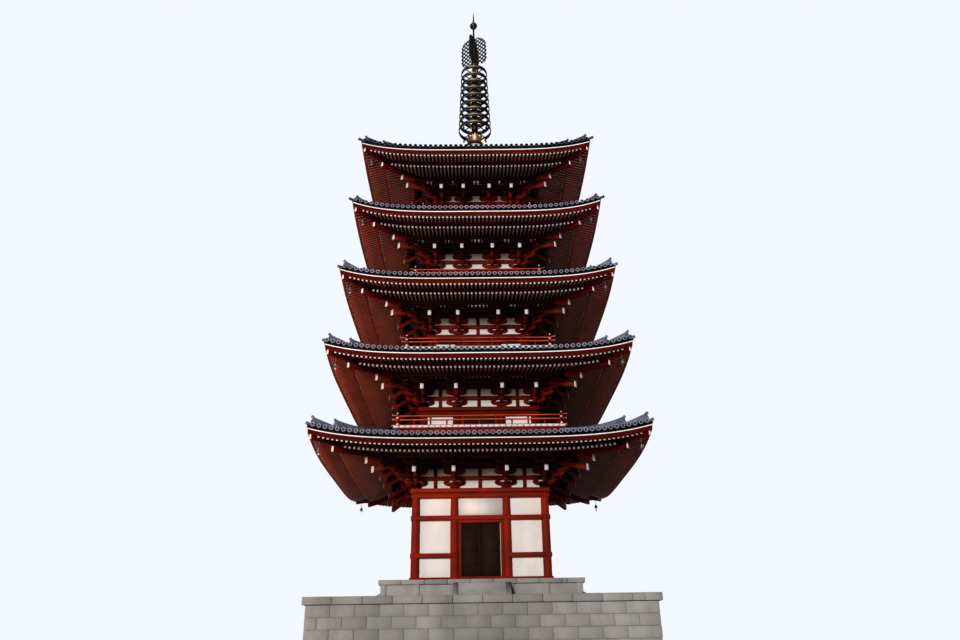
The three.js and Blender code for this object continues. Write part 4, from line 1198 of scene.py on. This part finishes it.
def make_flame():
    """Four openwork vanes: flat bars that cross both ways, discs where they cross, and a rim.

    A bar follows z = offset + slope * r, is cut where r leaves flame_reach, and its end stands out as
    a tooth beyond the rim.
    """
    bottom, top, turn = 47.6, 50.5, math.radians(-20)
    pitch, slope, thick, height = 0.4, 1.15, 0.05, top - bottom
    share = np.linspace(0, 1, 37)
    rim = np.stack((flame_reach(share) - 0.08, bottom + 0.05 + share * (height - 0.1)), 1)
    r = np.linspace(0.1, 1.2, 56)
    segments = []
    offsets = np.arange(bottom - 1.5, top + 1.5, pitch)
    for rise in (slope, -slope):
        for offset in offsets:
            z = offset + rise * r
            level = (z - bottom) / height
            inside = np.flatnonzero((level > 0) & (level < 1) & (r < flame_reach(np.clip(level, 0, 1))))
            if len(inside) >= 5:
                segments.append([(r[i], z[i]) for i in inside[[0, -1]]])
    segments = np.array(segments)
    low, high = np.meshgrid(offsets, offsets, indexing="ij")
    knots = np.stack(((high - low) / (2 * slope), (high + low) / 2), -1).reshape(-1, 2)
    level = (knots[:, 1] - bottom) / height
    reach = flame_reach(np.clip(level, 0, 1)) - 0.05
    knots = knots[(knots[:, 0] > 0.12) & (knots[:, 0] < reach) & (level > 0.02) & (level < 0.97)]
    vanes = Pile()
    for k in range(4):
        way = turned(OUTWARD, turn + k * QUARTER)
        across = np.cross(way, RISE)

        def place(rz):
            return way * rz[..., :1] + RISE * rz[..., 1:]
        bars(vanes, place(segments[:, 0]), place(segments[:, 1]), thick, 0.08)
        carry(vanes, place(rim)[None], oblong(thick, 0.05), across, way)
        discs = np.stack([place(knots) + across * thick * part for part in (-0.6, 0.6)], 1)
        carry(vanes, discs, circle(0.09, 8), way, RISE)
    make("flame_vanes", vanes, "bronze", node="finial_flame")
    core = ((0.17, 47.5), (0.24, 47.66), (0.2, 47.8), (0.21, 49.4), (0.2, 49.9), (0.16, 50.3), (0.09, 50.5))
    make("flame_core", piled(lathe, core, sides=16), "brown", smooth=50)


# Stage

def lamp(name, kind, energy, colour, place, target, **settings):
    """A light at a place, turned towards a target and hidden from the camera."""
    data = bpy.data.lights.new(name, kind)
    data.energy, data.color = energy, colour
    for key, value in settings.items():
        setattr(data, key, value)
    light = bpy.data.objects.new(name, data)
    light.location = place
    way = Vector(np.subtract(target, place, dtype=float))
    light.rotation_euler = way.to_track_quat("-Z", "Y").to_euler()
    light.visible_camera = False
    bpy.context.scene.collection.objects.link(light)


def make_stage():
    """Pale floor, soft sky light, a broad key light, a low warm light, and the camera."""
    scene = bpy.context.scene
    floor = bpy.data.meshes.new("floor")
    floor.from_pydata([(-400, -400, 0), (400, -400, 0), (400, 400, 0), (-400, 400, 0)], [], [(0, 1, 2, 3)])
    piece = bpy.data.objects.new("floor", floor)
    scene.collection.objects.link(piece)
    material, tree, shader, place, _ = start_material("Pale floor", 0.9)
    tone = ramp(tree, noise(tree, place, 0.15), 0.3, 0.7, 0.5, 0.54)
    set_surface(tree, shader, gray(tree, tone))
    floor.materials.append(material)

    # The camera sees a paler sky than the one that lights the tower
    scene.world = bpy.data.worlds.new("Soft sky")
    scene.world.use_nodes = True
    tree = scene.world.node_tree
    light = tree.nodes["Background"]
    light.inputs["Color"].default_value = (0.8, 0.78, 0.84, 1)
    light.inputs["Strength"].default_value = 0.08
    pale = shader_node(tree, "ShaderNodeBackground", {"Color": (0.8, 0.83, 0.88, 1), "Strength": 0.95})
    seen = shader_node(tree, "ShaderNodeLightPath").outputs["Is Camera Ray"]
    both = shader_node(tree, "ShaderNodeMixShader", {0: seen, 1: light.outputs[0], 2: pale.outputs[0]})
    tree.links.new(both.outputs[0], tree.nodes["World Output"].inputs["Surface"])

    middle = (0, 0, 13)
    lamp("front_light", "SUN", 1.9, (1.0, 0.97, 0.95), (-10, -42, 18.3), middle, angle=math.radians(6))
    lamp("front_soft_light", "AREA", 300, (0.93, 0.88, 1.0), (-3, -27, 1.6), (0, -3, 20), shape="RECTANGLE",
         size=14, size_y=2, spread=math.radians(60))
    lamp("low_left_light", "AREA", 235, (1.0, 0.45, 0.13), (-17, -9, 1.8), (-2, 0, 11), size=5,
         spread=math.radians(60))
    lamp("back_light", "SUN", 0.9, (1.0, 0.98, 0.95), (30, 34, 26), middle, angle=math.radians(20))
    lamp("top_light", "SUN", 1.0, (0.88, 0.92, 1.0), (-14, 10, 50), middle, angle=math.radians(30))

    data = bpy.data.cameras.new("camera")
    data.sensor_width, data.lens, data.clip_end = 36.0, 29.34, 1000.0
    pitch, yaw, roll = math.radians(23.96), math.radians(0.70), math.radians(-0.85)
    forward = np.array((math.sin(yaw) * math.cos(pitch), math.cos(yaw) * math.cos(pitch), math.sin(pitch)))
    level = np.array((math.cos(yaw), -math.sin(yaw), 0.0))
    over = np.cross(level, forward)
    right, up = math.cos(roll) * level + math.sin(roll) * over, math.cos(roll) * over - math.sin(roll) * level
    rows = np.eye(4)
    rows[:3, :3] = np.transpose((right, up, -forward))
    rows[:3, 3] = -0.22, -25.545, 0.8
    camera = bpy.data.objects.new("camera", data)
    camera.matrix_world = Matrix(rows.tolist())
    scene.collection.objects.link(camera)
    scene.camera = camera
    scene.view_settings.view_transform = "Standard"
    scene.view_settings.look = "Medium High Contrast"


# Properties

def colour_property(name, description, default):
    """A colour property."""
    return FloatVectorProperty(name=name, description=description, subtype="COLOR", size=3, min=0.0, max=1.0,
                               default=default)


def length_property(name, description, default, low, high):
    """A length property, in metres of the model."""
    return FloatProperty(name=name, description=description, default=default, min=low, max=high, unit="LENGTH")


class PagodaColours(PropertyGroup):
    vermilion: colour_property("Vermilion", "Paint on columns, beams and brackets", (0.32, 0.022, 0.006))
    faded: colour_property("Faded paint", "Paint where it has browned", (0.15, 0.02, 0.01))
    # Painted shade: a darker copy of the vermilion for fascias and hip rafters
    trim: colour_property("Edge paint", "Paint on fascias", (0.095, 0.0042, 0.0012))
    shaded: colour_property("Shaded paint", "Paint on the upper storeys' walls", (0.165, 0.012, 0.004))
    # Painted shade: a darker copy of the vermilion for the brackets under the eaves; its faded patches take
    # the nearly black painted shade
    bracket: colour_property("Bracket paint", "Paint on brackets and tail rafters", (0.19, 0.014, 0.004))
    # Painted shade: a darker copy of the vermilion for the tail rafters under the eaves
    tail: colour_property("Tail paint", "Paint on tail rafters", (0.17, 0.018, 0.004))
    # Painted shade: a nearly black copy of the vermilion for purlins, coves, eave boards and rafter rests deep
    # under the eaves, and for the brackets' darker patches
    sheltered: colour_property("Sheltered paint", "Paint deep under the eaves", (0.035, 0.004, 0.002))
    # Painted light: a lighter, more orange copy of the vermilion that stands in for highlights on the rails
    rail: colour_property("Rail paint", "Paint on the balcony railings", (0.8, 0.15, 0.045))
    # The finishes make a lighter copy for the flying tier and a darker one for the lower tier: painted light
    # and painted shade
    rafter: colour_property("Rafter paint", "Paint on the sides of rafters", (0.24, 0.03, 0.005))
    # Painted light: fascias' undersides lighter than their fronts, as if lit from below
    fascia_under: colour_property("Fascia underside", "Undersides of fascias", (0.22, 0.05, 0.03))
    # Painted sheen: rafters' undersides greyed as if glossy paint caught light from the sky
    dust: colour_property("Dusty paint", "Undersides of rafters", (0.25, 0.19, 0.185))
    white: colour_property("White", "Paint on rafter ends and edge boards", (0.95, 0.94, 0.92))
    plaster: colour_property("Plaster", "Wall panels", (0.9, 0.88, 0.84))
    door: colour_property("Door timber", "Door leaves", (0.03, 0.014, 0.01))
    # Pans are darker than covers, and covers lighter: painted shade in the valleys and painted light on the
    # tops
    tile: colour_property("Tile", "Pan tiles", (0.06, 0.068, 0.09))
    tile_light: colour_property("Tile, light", "Cover tiles, ridges and edge tiles", (0.17, 0.185, 0.23))
    stone: colour_property("Stone", "Podium and steps", (0.4, 0.385, 0.36))
    bronze: colour_property("Bronze", "Finial wheels and vanes", (0.055, 0.066, 0.078))
    brown: colour_property("Brown bronze", "Mast sleeve, hubs and calyx", (0.13, 0.06, 0.022))
    gilt: colour_property("Gilding", "Lotus and plates on the wheels", (0.44, 0.34, 0.17))
    bell: colour_property("Grey bronze", "Wind bells", (0.3, 0.31, 0.32))
    pale_bowl: colour_property("Bleached bronze", "Bowl and basin", (0.75, 0.72, 0.72))


class PagodaSizes(PropertyGroup):
    rafter_spacing: length_property("Rafter spacing", "Distance between rafters", 0.1285, 0.08, 0.3)
    tile_spacing: length_property("Tile spacing", "Distance between rows of cover tiles", 0.17, 0.1, 0.4)
    tile_length: length_property("Tile length", "Exposed length of one roof tile", 0.18, 0.1, 0.6)


# Operators

class PAGODA_OT_stage(Operator):
    """Make the floor, lights, camera and finishes"""
    bl_idname = "pagoda.stage"
    bl_label = "Stage"

    def execute(self, context):
        make_stage()
        build_finishes(context.scene.pagoda_colours)
        return {"FINISHED"}


class PAGODA_OT_podium(Operator):
    """Lay the podium, platform and steps in stone"""
    bl_idname = "pagoda.podium"
    bl_label = "Podium"

    def execute(self, context):
        make_podium()
        make_platform()
        return {"FINISHED"}


class PAGODA_OT_bodies(Operator):
    """Make columns, wall beams and doors"""
    bl_idname = "pagoda.bodies"
    bl_label = "Bodies"

    def execute(self, context):
        for storey in STOREYS:
            make_body(storey)
        return {"FINISHED"}


class PAGODA_OT_brackets(Operator):
    """Make the bracket clusters, tail rafters and coves"""
    bl_idname = "pagoda.brackets"
    bl_label = "Brackets"

    def execute(self, context):
        for storey in STOREYS:
            make_brackets(storey)
            make_tails(storey)
            make_cove(storey, context.scene.pagoda_sizes.rafter_spacing / SCALE)
        return {"FINISHED"}


class PAGODA_OT_eaves(Operator):
    """Make the eaves with both tiers of rafters, corner rafters and wind bells"""
    bl_idname = "pagoda.eaves"
    bl_label = "Eaves"

    def execute(self, context):
        for storey in STOREYS:
            make_eaves(storey, context.scene.pagoda_sizes.rafter_spacing / SCALE)
            make_hip_rafters(storey)
            make_wind_bell(storey)
        return {"FINISHED"}


class PAGODA_OT_tiles(Operator):
    """Lay the roof tiles and ridges"""
    bl_idname = "pagoda.tiles"
    bl_label = "Tiles"

    def execute(self, context):
        sizes = context.scene.pagoda_sizes
        for storey in STOREYS:
            make_tiles(storey, sizes.tile_spacing / SCALE, sizes.tile_length / SCALE)
            make_hip_ridges(storey)
        return {"FINISHED"}


class PAGODA_OT_balconies(Operator):
    """Make the balcony floors and railings"""
    bl_idname = "pagoda.balconies"
    bl_label = "Balconies"

    def execute(self, context):
        for storey in STOREYS[1:]:
            make_balcony(storey)
            make_railing(storey)
        return {"FINISHED"}


class PAGODA_OT_finial(Operator):
    """Make the bronze finial"""
    bl_idname = "pagoda.finial"
    bl_label = "Finial"

    def execute(self, context):
        make_finial()
        return {"FINISHED"}


STEPS = (PAGODA_OT_stage, PAGODA_OT_podium, PAGODA_OT_bodies, PAGODA_OT_brackets, PAGODA_OT_eaves,
         PAGODA_OT_tiles, PAGODA_OT_balconies, PAGODA_OT_finial)


class PAGODA_PT_panel(Panel):
    """Lists the steps that dress the pagoda"""
    bl_idname = "PAGODA_PT_panel"
    bl_label = "Pagoda"
    bl_space_type = "VIEW_3D"
    bl_region_type = "UI"
    bl_category = "Pagoda"

    def draw(self, context):
        for group in (context.scene.pagoda_sizes, context.scene.pagoda_colours):
            for name in group.__annotations__:
                self.layout.prop(group, name)
        for step in STEPS:
            self.layout.operator(step.bl_idname)


CLASSES = (PagodaColours, PagodaSizes, *STEPS, PAGODA_PT_panel)


def register():
    for cls in CLASSES:
        bpy.utils.register_class(cls)
    bpy.types.Scene.pagoda_colours = PointerProperty(type=PagodaColours)
    bpy.types.Scene.pagoda_sizes = PointerProperty(type=PagodaSizes)


def unregister():
    del bpy.types.Scene.pagoda_sizes
    del bpy.types.Scene.pagoda_colours
    for cls in reversed(CLASSES):
        bpy.utils.unregister_class(cls)


def main():
    register()
    for step in STEPS:
        category, name = step.bl_idname.split(".")
        getattr(getattr(bpy.ops, category), name)()


if __name__ == "__main__":
    main()
